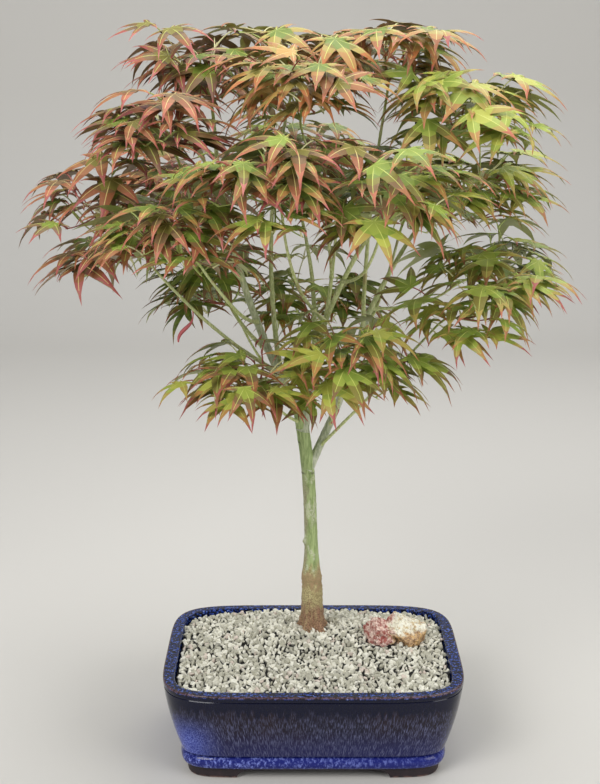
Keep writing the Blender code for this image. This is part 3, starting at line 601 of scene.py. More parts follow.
def strewTree(material):
    # grains on the marked faces of the bed, with a random shade each
    tree = bpy.data.node_groups.new("strewGrains", "GeometryNodeTree")
    rows = [("Geometry", "Geometry"), ("Seed", "Int"), ("Grains", "Collection")]
    rows += [(name, "Float") for name in grainSettings if name != "Seed"]
    sockets = {}
    for name, kind in rows:
        made = tree.interface.new_socket(name, in_out="INPUT", socket_type="NodeSocket" + kind)
        sockets[name] = made.identifier
    tree.interface.new_socket("Geometry", in_out="OUTPUT", socket_type="NodeSocketGeometry")
    w = Wiring(tree)
    given = w.node("NodeGroupInput").outputs

    def drawn(low, high, seed):
        return w.node("FunctionNodeRandomValue", {2: low, 3: high, "Seed": seed}).outputs[1]

    strewn = w.out("GeometryNodeInputNamedAttribute", {"Name": "strewn"}, data_type="FLOAT")
    points = w.out("GeometryNodeDistributePointsOnFaces", {
        "Mesh": given["Geometry"], "Selection": w.maths("GREATER_THAN", strewn, 0.5), "Seed": given["Seed"],
        "Distance Min": given["Spacing"], "Density Max": given["Density"]}, distribute_method="POISSON")
    kinds = w.out("GeometryNodeCollectionInfo", {
        "Collection": given["Grains"], "Separate Children": True, "Reset Children": True})
    anyTurn = {"Max": (6.2832,) * 3, "Seed": given["Seed"]}
    turn = w.out("FunctionNodeRandomValue", anyTurn, data_type="FLOAT_VECTOR")
    grains = w.out("GeometryNodeInstanceOnPoints", {
        "Points": points, "Instance": kinds, "Pick Instance": True, "Rotation": turn,
        "Scale": drawn(given["Smallest"], given["Largest"], 3)})
    rise = w.out("ShaderNodeCombineXYZ", {"Z": drawn(given["Sunk"], given["Lift"], 4)})
    grains = w.out("GeometryNodeTranslateInstances", {
        "Instances": grains, "Translation": rise, "Local Space": False})
    shaded = {"Geometry": grains, "Name": "shade", "Value": drawn(0.0, 1.0, 5)}
    grains = w.out("GeometryNodeStoreNamedAttribute", shaded, data_type="FLOAT", domain="INSTANCE")
    grains = w.out("GeometryNodeRealizeInstances", {"Geometry": grains})
    grains = w.out("GeometryNodeSetMaterial", {"Geometry": grains, "Material": material})
    both = w.node("GeometryNodeJoinGeometry")
    for part in (given["Geometry"], grains):
        tree.links.new(part, both.inputs[0])
    w.node("NodeGroupOutput", {0: both.outputs[0]})
    return tree, sockets


def gravelMaterials():
    stone, w = newMaterial("greyGravel", "#c2c0b6", 0.85)
    shade = w.attribute("shade")
    worn = w.mottle(700, 4.0, 0.7)
    colour = w.fade(shade, 0.0, 0.85, "#bdbaa8", "#fcf9ea")
    colour = w.fade(shade, 0.955, 0.975, colour, "#cdb0a6", 0.6)
    colour = w.fade(worn, 0.35, 0.68, colour, "#b2af9f", 0.35)
    w.paint(colour, w.between(worn, 0.3, 0.7, 0.75, 0.95), w.bump(worn, 0.0004, 0.8))
    # the bed's near-black colour is painted shadow in the gaps between the grains
    bed, w = newMaterial("gravelShadow", "#3a3a37", 0.9)
    gapMottle = w.mottle(420, 5.0, 0.7)
    gapShadow = w.fade(gapMottle, 0.35, 0.7, "#121211", "#3c3b38")
    w.join(w.shader, {"Base Color": gapShadow, "Normal": w.bump(gapMottle, 0.001)})
    return bed, stone


def makeGravel():
    bed = bedMesh()
    for material in gravelMaterials():
        bed.materials.append(material)
    piece = linked("gravelGrains", bed)
    kinds = grainKinds()
    tree, sockets = strewTree(bed.materials[1])
    modifier = piece.modifiers.new("strew", "NODES")
    modifier.node_group = tree
    for name, value in {**grainSettings, "Grains": kinds}.items():
        modifier[sockets[name]] = value
    applyModifiers(piece)
    for kind in list(kinds.objects):
        bpy.data.objects.remove(kind, do_unlink=True)
    bpy.data.collections.remove(kinds)
    finished(piece, "gravel", "gravel")


# The viewing stone: a pale pitted lobe and a low pink one, grown together.
stoneShape = {
    "lift": 0.42, "levels": 5, "rough": 0.14, "roughScale": 2.1, "pits": 0.36, "pitScale": 4.5, "seed": 14,
    "cuts": 8, "cutDepth": (0.52, 0.80),
    "lobes": (((0.007, 0.0), (0.0190, 0.0172, 0.0190), 0.3),
              ((-0.0145, -0.004), (0.0152, 0.0136, 0.0138), -0.4)),
}


def stoneMaterial():
    material, w = newMaterial("viewingStone", "#c9a27c", 0.8)
    x, _, z = w.split(w.place(shift=tuple(-plantShift - Vector((*stonePlace["at"], 0)))))
    wander = w.mottle(90, 4.0, 0.6)
    grainy = w.mottle(210, 5.0, 0.75)
    side = w.plus(x, w.between(wander, 0.3, 0.7, -0.007, 0.007))
    low = w.plus(z, w.between(wander, 0.3, 0.7, -0.004, 0.004))
    paleSide = w.between(side, -0.0060, -0.0020)
    pale = w.fade(grainy, 0.34, 0.52, "#c9a866", "#fffbe8")
    pink = w.fade(grainy, 0.42, 0.58, "#a5584f", "#f3d8ca")
    ochre = w.fade(grainy, 0.4, 0.6, "#7a4a2c", "#e0a848")
    under = w.times(w.between(low, 0.0960, 0.0895), paleSide)
    colour = w.mix(w.times(under, 0.8), w.mix(paleSide, pink, pale), ochre)
    colour = w.fade(w.mottle(150, 5.0, 0.75, warp=1.2), 0.56, 0.66, colour, "#a8632f", 0.6)
    # small pits, sunk by the bump, with painted shade darkening their hollows
    pits = w.cells(520)
    colour = w.fade(pits, 0.24, 0.10, colour, "#5a3526", 0.45)
    relief = w.bump(w.plus(grainy, w.between(pits, 0.1, 0.4)), 0.0007, 0.8)
    w.paint(colour, w.between(grainy, 0.3, 0.7, 0.65, 0.95), relief)
    return material


def stoneLobe(number, offset, half, turn):
    s = stoneShape
    x, y = stonePlace["at"][0] + offset[0], stonePlace["at"][1] + offset[1]
    middle = Vector((x, y, gravelHeight(x, y) + s["lift"] * half[2]))
    work = bmesh.new()
    bmesh.ops.create_icosphere(work, subdivisions=s["levels"], radius=1.0)
    spin = Matrix.Rotation(turn, 3, "Z")
    rng = random.Random(s["seed"] + number)
    cuts = [(anyWay(rng, 0.2), rng.uniform(*s["cutDepth"])) for k in range(s["cuts"])]
    for vert in work.verts:
        point = vert.co.copy()
        for facing, depth in cuts:  # broken flat faces
            point -= facing * max(0.0, point.dot(facing) - depth)
        where = vert.co + Vector((s["seed"], number * 5.0, 0))
        swell = s["rough"] * noise.fractal(where * s["roughScale"], 0.9, 2.1, 4)
        pitted = s["pits"] * max(0.0, noise.fractal(where * s["pitScale"], 0.9, 2.1, 4)) ** 1.3
        vert.co = spin @ stretched(point * (1 + swell - pitted), half) + middle + plantShift
    return linked("stoneLobe", meshOf(work, "stoneLobe"))


def makeStone():
    stone, side = [stoneLobe(number, *lobe) for number, lobe in enumerate(stoneShape["lobes"])]
    combine(stone, [side], "UNION")
    stone.name = stone.data.name = "viewingStone"
    stone.data.materials.clear()
    stone.data.materials.append(stoneMaterial())
    smoothed(stone.data, 50)
    finished(stone, "viewing_stone", "stone")


# Trunk and boughs: the source's curves, with the bark's relief.
trunkShape = {
    "foot": (0.0, 0.035), "ground": 0.090, "gap": 0.0003, "rise": 0.212, "lean": (-0.0035, -0.015),
    "crook": -0.012, "radius": 0.0056, "swell": 0.0036, "swellTop": 0.148, "swellSoft": 0.009,
    "flare": 0.0024, "flareSoft": 0.007, "lastFork": 0.85, "tipTaper": 0.30, "rings": 170, "sides": 60,
    "sunk": 0.004, "closing": (0.9, 0.78, 0.6, 0.4), "closingStep": 0.0008,
    "roughTop": 0.142, "roughSoft": 0.004, "graft": 0.137, "graftWidth": 0.0045,
    "roots": 5, "rootDepth": 0.192, "rootTurn": 1.4,
    "nodes": (0.264, 0.236, 0.206, 0.181), "nodeSwell": 0.045, "nodeWidth": 0.0011, "nodeTilt": 0.0012,
    "bud": (0.171, 0.0022, 0.35), "budSwell": 0.28,  # the bud's height, width and bearing
}
# each bough: parent, share along it, tip, sideways bow, base radius, tip radius
boughs = {
    "leader": ("trunk", 0.96, (-0.080, 0.008, 0.530), (-0.013, -0.012, 0.0), 0.0041, 0.0015),
    "right": ("trunk", 0.70, (0.046, 0.041, 0.374), (0.005, 0.0, 0.0), 0.0038, 0.0027),
    "middle": ("trunk", 0.87, (-0.0015, 0.019, 0.316), (0.001, 0.0, 0.0), 0.0040, 0.0033),
    "right_outer": ("right", 0.93, (0.098, 0.038, 0.462), (-0.002, 0.006, 0.0), 0.0025, 0.0014),
    "front_right": ("middle", 0.90, (0.088, -0.050, 0.510), (-0.020, -0.010, 0.0), 0.0029, 0.0012),
    "heart": ("middle", 0.94, (0.018, -0.012, 0.452), (0.003, 0.0, 0.0), 0.0025, 0.0012),
    "back": ("middle", 0.80, (-0.012, 0.125, 0.452), (0.008, -0.004, 0.0), 0.0028, 0.0013),
    "top_middle": ("leader", 0.12, (-0.020, 0.050, 0.548), (-0.012, 0.010, 0.0), 0.0025, 0.0012),
    "outer_left": ("leader", 0.14, (-0.140, -0.002, 0.430), (-0.004, -0.010, -0.004), 0.0019, 0.0010),
    "front_left": ("leader", 0.33, (-0.086, -0.078, 0.430), (0.004, -0.014, -0.008), 0.0018, 0.0010),
    "upper_left": ("leader", 0.48, (-0.104, -0.036, 0.502), (-0.004, -0.008, -0.006), 0.0017, 0.0010),
    "back_left": ("leader", 0.22, (-0.088, 0.095, 0.430), (-0.010, 0.006, -0.010), 0.0020, 0.0011),
    "inner_left": ("leader", 0.08, (-0.062, 0.036, 0.366), (-0.004, 0.006, -0.002), 0.0014, 0.0009),
    "top_right": ("right", 0.90, (0.056, -0.002, 0.545), (-0.004, -0.008, 0.0), 0.0020, 0.0011),
    "right_shelf": ("right_outer", 0.12, (0.118, 0.044, 0.394), (0.006, 0.004, -0.006), 0.0015, 0.0010),
    "lower_right": ("right", 0.14, (0.096, -0.035, 0.374), (0.002, -0.004, 0.002), 0.0014, 0.0009),
    "skirt_right": ("right", 0.28, (0.018, -0.024, 0.336), (0.006, -0.004, 0.0), 0.0013, 0.0009),
    "back_right": ("right", 0.84, (0.076, 0.100, 0.430), (0.002, 0.014, -0.010), 0.0019, 0.0011),
    "front_middle": ("heart", 0.42, (-0.024, -0.092, 0.468), (-0.006, -0.012, -0.006), 0.0016, 0.0010),
    "front_high": ("heart", 0.70, (-0.008, -0.052, 0.525), (0.004, -0.010, 0.0), 0.0014, 0.0009),
    "front": ("front_right", 0.50, (0.048, -0.084, 0.452), (0.002, -0.008, -0.008), 0.0015, 0.0010),
    "skirt_left": ("trunk", 0.90, (-0.036, -0.012, 0.318), (-0.004, -0.004, -0.002), 0.0014, 0.0009),
    "back_low": ("back", 0.28, (0.0, 0.078, 0.346), (0.004, 0.002, -0.006), 0.0014, 0.0009),
}
boughBark = {
    "taper": 0.8, "thick": 0.0026, "spacing": 0.0022, "collar": 0.45, "wander": 0.0007, "swayRate": 28,
    "nodeEvery": 0.034, "nodeSwell": 0.16, "nodeLength": 0.0011, "relief": 0.05,
    "youngUnder": 0.0010, "oldBy": 0.0030,
}


def trunkPoint(share):
    t = trunkShape
    across = t["lean"][0] * share + t["crook"] * share ** 5
    up = t["ground"] + t["gap"] + (t["rise"] - t["gap"]) * share
    return Vector((t["foot"][0] + across, t["foot"][1] + t["lean"][1] * share, up))


def trunkRadius(share):
    t = trunkShape
    z = trunkPoint(share).z
    swell = t["swell"] / (1 + math.exp((z - t["swellTop"]) / t["swellSoft"]))
    flare = t["flare"] * math.exp(-(z - t["ground"]) / t["flareSoft"])
    thinned = t["tipTaper"] * max(0.0, share - t["lastFork"]) / (1 - t["lastFork"])
    return t["radius"] * (1 - thinned) + swell + flare


def bowed(start, end, bow, s):
    # a point at share s of a line that bows aside in the middle
    return start.lerp(end, s) + bow * (4 * s * (1 - s))


def limbCurves():
    # each limb as a function from the share of its length to a point and a radius
    curves = {"trunk": lambda s: (trunkPoint(s), trunkRadius(s))}
    for name, (parent, where, tip, bow, thick, thin) in boughs.items():
        start = curves[parent](where)[0]

        def curve(s, start=start, tip=Vector(tip), bow=Vector(bow), thick=thick, thin=thin):
            return bowed(start, tip, bow, s), thick + (thin - thick) * s ** boughBark["taper"]

        curves[name] = curve
    return curves


limbs = limbCurves()


def codeSum(name):
    # a steady number from a name, for seeds
    return sum(ord(c) for c in name)


def peak(distance, width):
    return math.exp(-(distance / width) ** 2)


def framesAlong(path):
    found, side = [], None
    for k in range(len(path)):
        ahead = (path[min(k + 1, len(path) - 1)] - path[max(k - 1, 0)]).normalized()
        if side is None:
            side = ahead.cross(Vector((0.3, 1.0, 0.1))).normalized()
        side = (side - ahead * side.dot(ahead)).normalized()
        found.append((side.copy(), ahead.cross(side)))
    return found


def tube(path, radii, sides, relief=None):
    # a closed tube; relief gives the height of the bark at a bearing and place
    rings = []
    for point, radius, (u, v) in zip(path, radii, framesAlong(path)):
        ring = []
        for j in range(sides):
            angle = 2 * math.pi * j / sides
            out = math.cos(angle) * u + math.sin(angle) * v
            reach = radius if relief is None else radius + relief(angle, point + out * radius, radius)
            ring.append(point + out * reach)
        rings.append(ring)
    return loft(rings)


def trunkRelief(angle, where, radius):
    t = trunkShape
    z = where.z
    rough = 1 / (1 + math.exp((z - t["roughTop"]) / t["roughSoft"]))  # 1 under the graft, 0 on the green wood
    fibre = noise.fractal(Vector((where.x * 420, where.y * 420, where.z * 120)), 0.8, 2.0, 4)
    crumb = noise.fractal(where * 520, 0.7, 2.1, 4)
    knobby = noise.fractal(where * 95, 0.9, 2.0, 3)
    height = 0.020 * knobby + 0.006 * fibre
    height += rough * (0.10 * abs(crumb) + 0.05 * knobby - 0.02)
    height += peak(z - t["graft"], t["graftWidth"]) * (0.05 + 0.07 * crumb)
    flare = math.exp(-(z - t["ground"]) / (t["flareSoft"] * 1.4))
    height += flare * (t["rootDepth"] * math.sin(angle * t["roots"] + t["rootTurn"]) + 0.12 * fibre)
    for level in t["nodes"]:
        tilt = t["nodeTilt"] * math.sin(angle + level * 90)
        height += t["nodeSwell"] * peak(z - level + tilt, t["nodeWidth"])
    bud, width, bearing = t["bud"]
    height += t["budSwell"] * peak(z - bud, width) * max(0.0, math.cos(angle - bearing)) ** 8
    return radius * height


def barkMaterial():
    material, w = newMaterial("trunkBark", "#8f9a63", 0.7)
    x, _, z = w.split(w.place())
    streak = w.mottle(520, 4.0, 0.65, 0.12)
    blotch = w.mottle(120, 4.0, 0.6, 0.45)
    fine = w.mottle(950, 4.0, 0.7)
    # green wood, weathered drab on one side, with chalky patches and freckles
    green = w.fade(streak, 0.35, 0.65, "#84965a", "#b2c386")
    across = w.plus(x, w.between(blotch, 0.3, 0.7, -0.003, 0.003))
    weathered = w.times(w.between(across, 0.0050, 0.0010), w.between(z, 0.245, 0.215))
    green = w.mix(w.times(weathered, 0.75), green, w.fade(fine, 0.36, 0.64, "#82755a", "#bab196"))
    chalk = w.times(w.between(blotch, 0.50, 0.58), w.between(z, 0.250, 0.225))
    chalk = w.times(chalk, w.between(fine, 0.40, 0.55))
    green = w.mix(w.times(chalk, 0.7), green, "#d9d6bf")
    green = w.fade(w.cells(900, 0.6), 0.16, 0.06, green, "#5d5a38", 0.35)
    # tan under the graft, brown on the graft's ring and at the foot
    tan = w.fade(fine, 0.36, 0.64, "#8c7a50", "#d6ca96")
    tan = w.fade(blotch, 0.45, 0.6, tan, "#a99668", 0.5)
    brown = w.fade(fine, 0.36, 0.62, "#5a3a2b", "#b08468")
    edge = w.plus(z, w.between(blotch, 0.3, 0.7, -0.007, 0.007))
    bark = w.fade(edge, 0.152, 0.142, green, tan)
    ring = w.times(w.between(edge, 0.1270, 0.1310), w.between(edge, 0.1450, 0.1410))
    bark = w.mix(w.times(ring, w.between(fine, 0.42, 0.60, 0.0, 0.75)), bark, brown)
    foot = w.times(w.between(edge, 0.1150, 0.1040), w.between(streak, 0.30, 0.62, 0.50, 0.95))
    bark = w.mix(foot, bark, brown)
    for level in trunkShape["nodes"][:2]:  # a broken dark line at the upper nodes
        below = w.between(z, level - 0.0014, level - 0.0004)
        dash = w.times(below, w.between(z, level + 0.0014, level + 0.0004))
        bark = w.mix(w.times(dash, w.between(blotch, 0.46, 0.56, 0.0, 0.6)), bark, "#4a4630")
    rugged = w.plus(w.times(fine, w.between(z, 0.156, 0.146, 0.35, 1.3)), streak)
    w.paint(bark, w.between(fine, 0.3, 0.7, 0.55, 0.85), w.bump(rugged, 0.0005, 0.8))
    return material


def makeTrunk():
    t = trunkShape
    shares = [k / t["rings"] for k in range(t["rings"] + 1)]
    path = [trunkPoint(s) for s in shares]
    radii = [trunkRadius(s) for s in shares]
    path.insert(0, path[0] - Vector((0, 0, t["sunk"])))  # the foot goes down among the grains
    radii.insert(0, radii[0] * 1.05)
    for narrower in t["closing"]:  # the tip closes inside the boughs
        path.append(path[-1] + (path[-1] - path[-2]).normalized() * t["closingStep"])
        radii.append(radii[-1] * narrower)
    skin = Skin()
    skin.add(*tube(path, radii, t["sides"], trunkRelief))
    finished(skin.build("trunkBark", [barkMaterial()]), "bark", "trunk")


def boughPath(name):
    b = boughBark
    curve = limbs[name]
    length = (curve(1)[0] - curve(0)[0]).length
    count = max(10, round(length / b["spacing"]))
    path, radii = [], []
    for share in (k / count for k in range(count + 1)):
        point, radius = curve(share)
        walked = share * length
        sway = noise.noise_vector(Vector((codeSum(name), walked * b["swayRate"], 0)))
        path.append(point + sway * b["wander"] * math.sin(math.pi * share))
        collar = b["collar"] * math.exp(-walked / (2.2 * radius))
        fromNode = (walked + b["nodeEvery"] / 2) % b["nodeEvery"] - b["nodeEvery"] / 2
        radii.append(radius * (1 + collar + b["nodeSwell"] * peak(fromNode, b["nodeLength"])))
    return path, radii


def youngBarkMaterial():
    material, w = newMaterial("boughBark", "#93a05a", 0.6)
    streak = w.mottle(620, 4.0, 0.65, 0.2)
    blotch = w.mottle(70, 3.0, 0.6)
    old = w.fade(streak, 0.35, 0.65, "#98a181", "#cbcfb3")
    old = w.fade(blotch, 0.55, 0.68, old, "#dedfcd", 0.6)
    young = w.fade(streak, 0.35, 0.65, "#b0bb74", "#dadea6")
    young = w.fade(blotch, 0.56, 0.7, young, "#98714a", 0.55)
    wood = w.fade(w.attribute("youth"), 0.15, 0.75, old, young)
    w.paint(wood, w.between(streak, 0.3, 0.7, 0.45, 0.7), w.bump(streak, 0.0003, 0.7))
    return material


def makeBoughs():
    b = boughBark
    skin = Skin()
    for name, (*_, thick, thin) in boughs.items():
        path, radii = boughPath(name)
        sides = 16 if thick > b["thick"] else 10

        def relief(angle, where, radius, seed=codeSum(name)):
            return radius * b["relief"] * noise.fractal(where * 260 + Vector((seed, 0, 0)), 0.8, 2.0, 3)

        verts, faces = tube(path, radii, sides, relief)
        aged = [(radius - b["youngUnder"]) / b["oldBy"] for radius in radii for j in range(sides)]
        skin.add(verts, faces, 0, [1 - min(1.0, max(0.0, age)) for age in aged])
    piece = skin.build("boughBark", [youngBarkMaterial()], "youth")
    finished(piece, "young_bark", *["bough_" + name for name in boughs])


# Masses of leaves: the source's growth rule, then finer side twigs with more leaves in the same space.
masses = {
    "top_left": ("leader", (-0.086, 0.018, 0.574), (0.066, 0.064, 0.038), 11, "rusty"),
    "top_middle": ("top_middle", (-0.014, 0.052, 0.582), (0.064, 0.070, 0.036), 11, "golden"),
    "top_right": ("top_right", (0.060, -0.006, 0.588), (0.066, 0.066, 0.036), 12, "golden"),
    "upper_left": ("upper_left", (-0.128, -0.045, 0.536), (0.070, 0.064, 0.044), 12, "rusty"),
    "upper_right": ("front_right", (0.116, -0.040, 0.544), (0.068, 0.064, 0.044), 12, "bright"),
    "outer_left": ("outer_left", (-0.172, 0.010, 0.450), (0.064, 0.070, 0.068), 13, "rusty"),
    "outer_right": ("right_outer", (0.140, 0.016, 0.488), (0.072, 0.068, 0.046), 12, "bright"),
    "front_left": ("front_left", (-0.104, -0.102, 0.462), (0.072, 0.068, 0.056), 12, "turning"),
    "front_middle": ("front_middle", (-0.034, -0.122, 0.500), (0.066, 0.062, 0.052), 11, "turning"),
    "front_right": ("front", (0.052, -0.110, 0.482), (0.066, 0.062, 0.052), 11, "fresh"),
    "front_high": ("front_high", (-0.010, -0.062, 0.562), (0.066, 0.060, 0.040), 9, "golden"),
    "heart": ("heart", (0.016, -0.012, 0.488), (0.064, 0.060, 0.050), 8, "shaded"),
    "right_shelf": ("right_shelf", (0.154, 0.040, 0.414), (0.068, 0.066, 0.038), 9, "olive"),
    "lower_right": ("lower_right", (0.130, -0.045, 0.394), (0.066, 0.060, 0.040), 9, "olive"),
    "skirt_left": ("skirt_left", (-0.048, -0.045, 0.342), (0.066, 0.060, 0.046), 8, "skirt"),
    "skirt_right": ("skirt_right", (0.036, -0.056, 0.354), (0.070, 0.058, 0.050), 9, "skirt"),
    "inner_left": ("inner_left", (-0.084, 0.045, 0.398), (0.062, 0.056, 0.046), 6, "shaded"),
    "back_left": ("back_left", (-0.118, 0.125, 0.468), (0.078, 0.072, 0.060), 12, "rusty"),
    "back_middle": ("back", (-0.010, 0.155, 0.496), (0.072, 0.066, 0.062), 12, "turning"),
    "back_right": ("back_right", (0.100, 0.128, 0.468), (0.078, 0.072, 0.060), 12, "bright"),
    "back_low": ("back_low", (0.0, 0.105, 0.368), (0.068, 0.062, 0.044), 8, "fresh"),
}
growth = {
    "seed": 11, "stemAhead": 0.4, "hubDrop": 0.30, "solidSteps": (0.028, 0.034),
    "reach": 0.5, "rise": 0.55, "drop": 0.22, "outward": 0.7,
    "petiole": (0.014, 0.024), "lift": (0.25, 0.9), "swing": (0.45, 1.0), "waver": 0.35, "tilt": (0.1, 0.6),
    "roll": 0.0,
    "size": (0.041, 0.052), "places": ((0.96, -1), (0.88, 1), (0.55, None), (0.72, 0)),
    "tries": 6, "sizes": (1.0, 0.9, 0.8), "turns": (0.0, 0.4, -0.4, 0.8, -0.8), "near": 0.00008,
    "twig": 0.00095, "petioleRadius": 0.00054, "leafThick": 0.0009,
}
filling = {
    "shoots": 80, "shootShare": 0.6, "share": 3.1, "rise": (-0.75, 0.50), "leafRise": 0.006,
    "sideTwigs": 7, "from": (0.25, 0.92), "length": (0.018, 0.040), "spread": (0.5, 1.5),
    "climb": (-0.7, 0.9), "size": (0.040, 0.055), "petiole": (0.012, 0.024), "swing": (0.6, 1.3),
    "lift": (0.1, 0.8), "tilt": (0.0, 0.75), "roll": 1.1,
    "margin": 1.42, "boxMargin": 0.0006, "standIn": 0.80,
    "sizes": (1.0, 0.88, 0.76), "turns": (0.0, 0.5, -0.5, 1.0, -1.0), "limbSteps": 8, "limbSpare": 0.0002,
}
leafOutline = {
    "lobes": ((-98, 0.55), (-47, 0.88), (0, 1.0), (47, 0.88), (98, 0.55)), "basal": (138, 0.27),
    "basalOdds": 0.55,
    "notch": 0.34, "droop": 0.34, "hollow": 0.29, "stations": (0.26, 0.40, 0.56, 0.72, 0.87),
    "widths": (0.108, 0.116, 0.103, 0.071, 0.031), "fold": 0.26, "arch": 0.17, "vein": 0.0095, "veinRows": 3,
    "chevron": 0.080, "top": 0.00045, "bottom": 0.00035, "heel": (0.55, 0.085),
}


def spun(vector, angle):
    return Matrix.Rotation(angle, 3, "Z") @ vector


def leafAt(along, foot, heading, rng, rule):
    # a leaf at the end of its stalk: share along the twig, joint, heading, normal, size
    lift = Vector((0, 0, rng.uniform(*rule["lift"])))
    joint = foot + (heading + lift).normalized() * rng.uniform(*rule["petiole"])
    tilt = rng.uniform(*rule["tilt"])
    leaning = spun(heading, rng.uniform(-1, 1) * rule["roll"]) if rule["roll"] else heading
    normal = Vector((0, 0, math.cos(tilt))) + leaning * math.sin(tilt)
    return along, joint, heading, normal, rng.uniform(*rule["size"])


def leafAxes(heading, normal):
    up = normal.normalized()
    along = (heading - up * heading.dot(up)).normalized()
    return along, up.cross(along), up


def leafFan(joint, heading, normal, size):
    # the source's outline of a leaf, as a fan: a plain stand-in for testing what is free
    o = leafOutline
    along, across, up = leafAxes(heading, normal)
    rim = [Vector((-0.07 * size, 0.0, 0.0))]
    for k, (angle, length) in enumerate(o["lobes"]):
        if k:
            between = math.radians((angle + o["lobes"][k - 1][0]) / 2)
            reach = o["notch"] * size
            rim.append(Vector((reach * math.cos(between), reach * math.sin(between), -0.06 * size)))
        a, reach = math.radians(angle), length * size
        rim.append(Vector((reach * math.cos(a), reach * math.sin(a), -o["droop"] * length * reach)))
    verts = [joint + along * p.x + across * p.y + up * p.z for p in rim]
    verts.append(joint + up * growth["leafThick"] * 0.6)
    return verts, [(len(rim), k, (k + 1) % len(rim)) for k in range(len(rim))]


def leafTurns(leaf, sizes, turns):
    # the same leaf, smaller and turned aside step by step
    along, joint, heading, normal, size = leaf
    for share in sizes:
        for turn in turns:
            yield along, joint, spun(heading, turn), normal, size * share


class Room:
    # what stands in the crown so far
    def __init__(self):
        self.known = []
        steps = filling["limbSteps"]
        for curve in limbs.values():
            path, radii = zip(*(curve(k / steps) for k in range(steps + 1)))
            self.add(tube(path, [radius + filling["limbSpare"] for radius in radii], 6))

    def ball(self, verts):
        low, high = Vector(map(min, *verts)), Vector(map(max, *verts))
        return (low + high) / 2, (high - low).length / 2

    def add(self, shape):
        self.known.append((*self.ball(shape[0]), BVHTree.FromPolygons(*shape)))

    def free(self, shape):
        middle, radius = self.ball(shape[0])
        tree = None
        for centre, reach, other in self.known:
            if (centre - middle).length < reach + radius:
                tree = tree or BVHTree.FromPolygons(*shape)
                if tree.overlap(other):
                    return False
        return True


def inBox(point):
    margin, seen = filling["boxMargin"], point + plantShift
    return all(cadLow[k] + margin < seen[k] < cadHigh[k] - margin for k in range(3))


def bowedTwig(root, end, rng, sag):
    # a slightly crooked twig as a function of the share of its length
    length = (end - root).length
    bow = Vector((rng.uniform(-1, 1), rng.uniform(-1, 1), rng.uniform(-1.2, 0.2))) * length * sag
    return lambda s: bowed(root, end, bow, s)


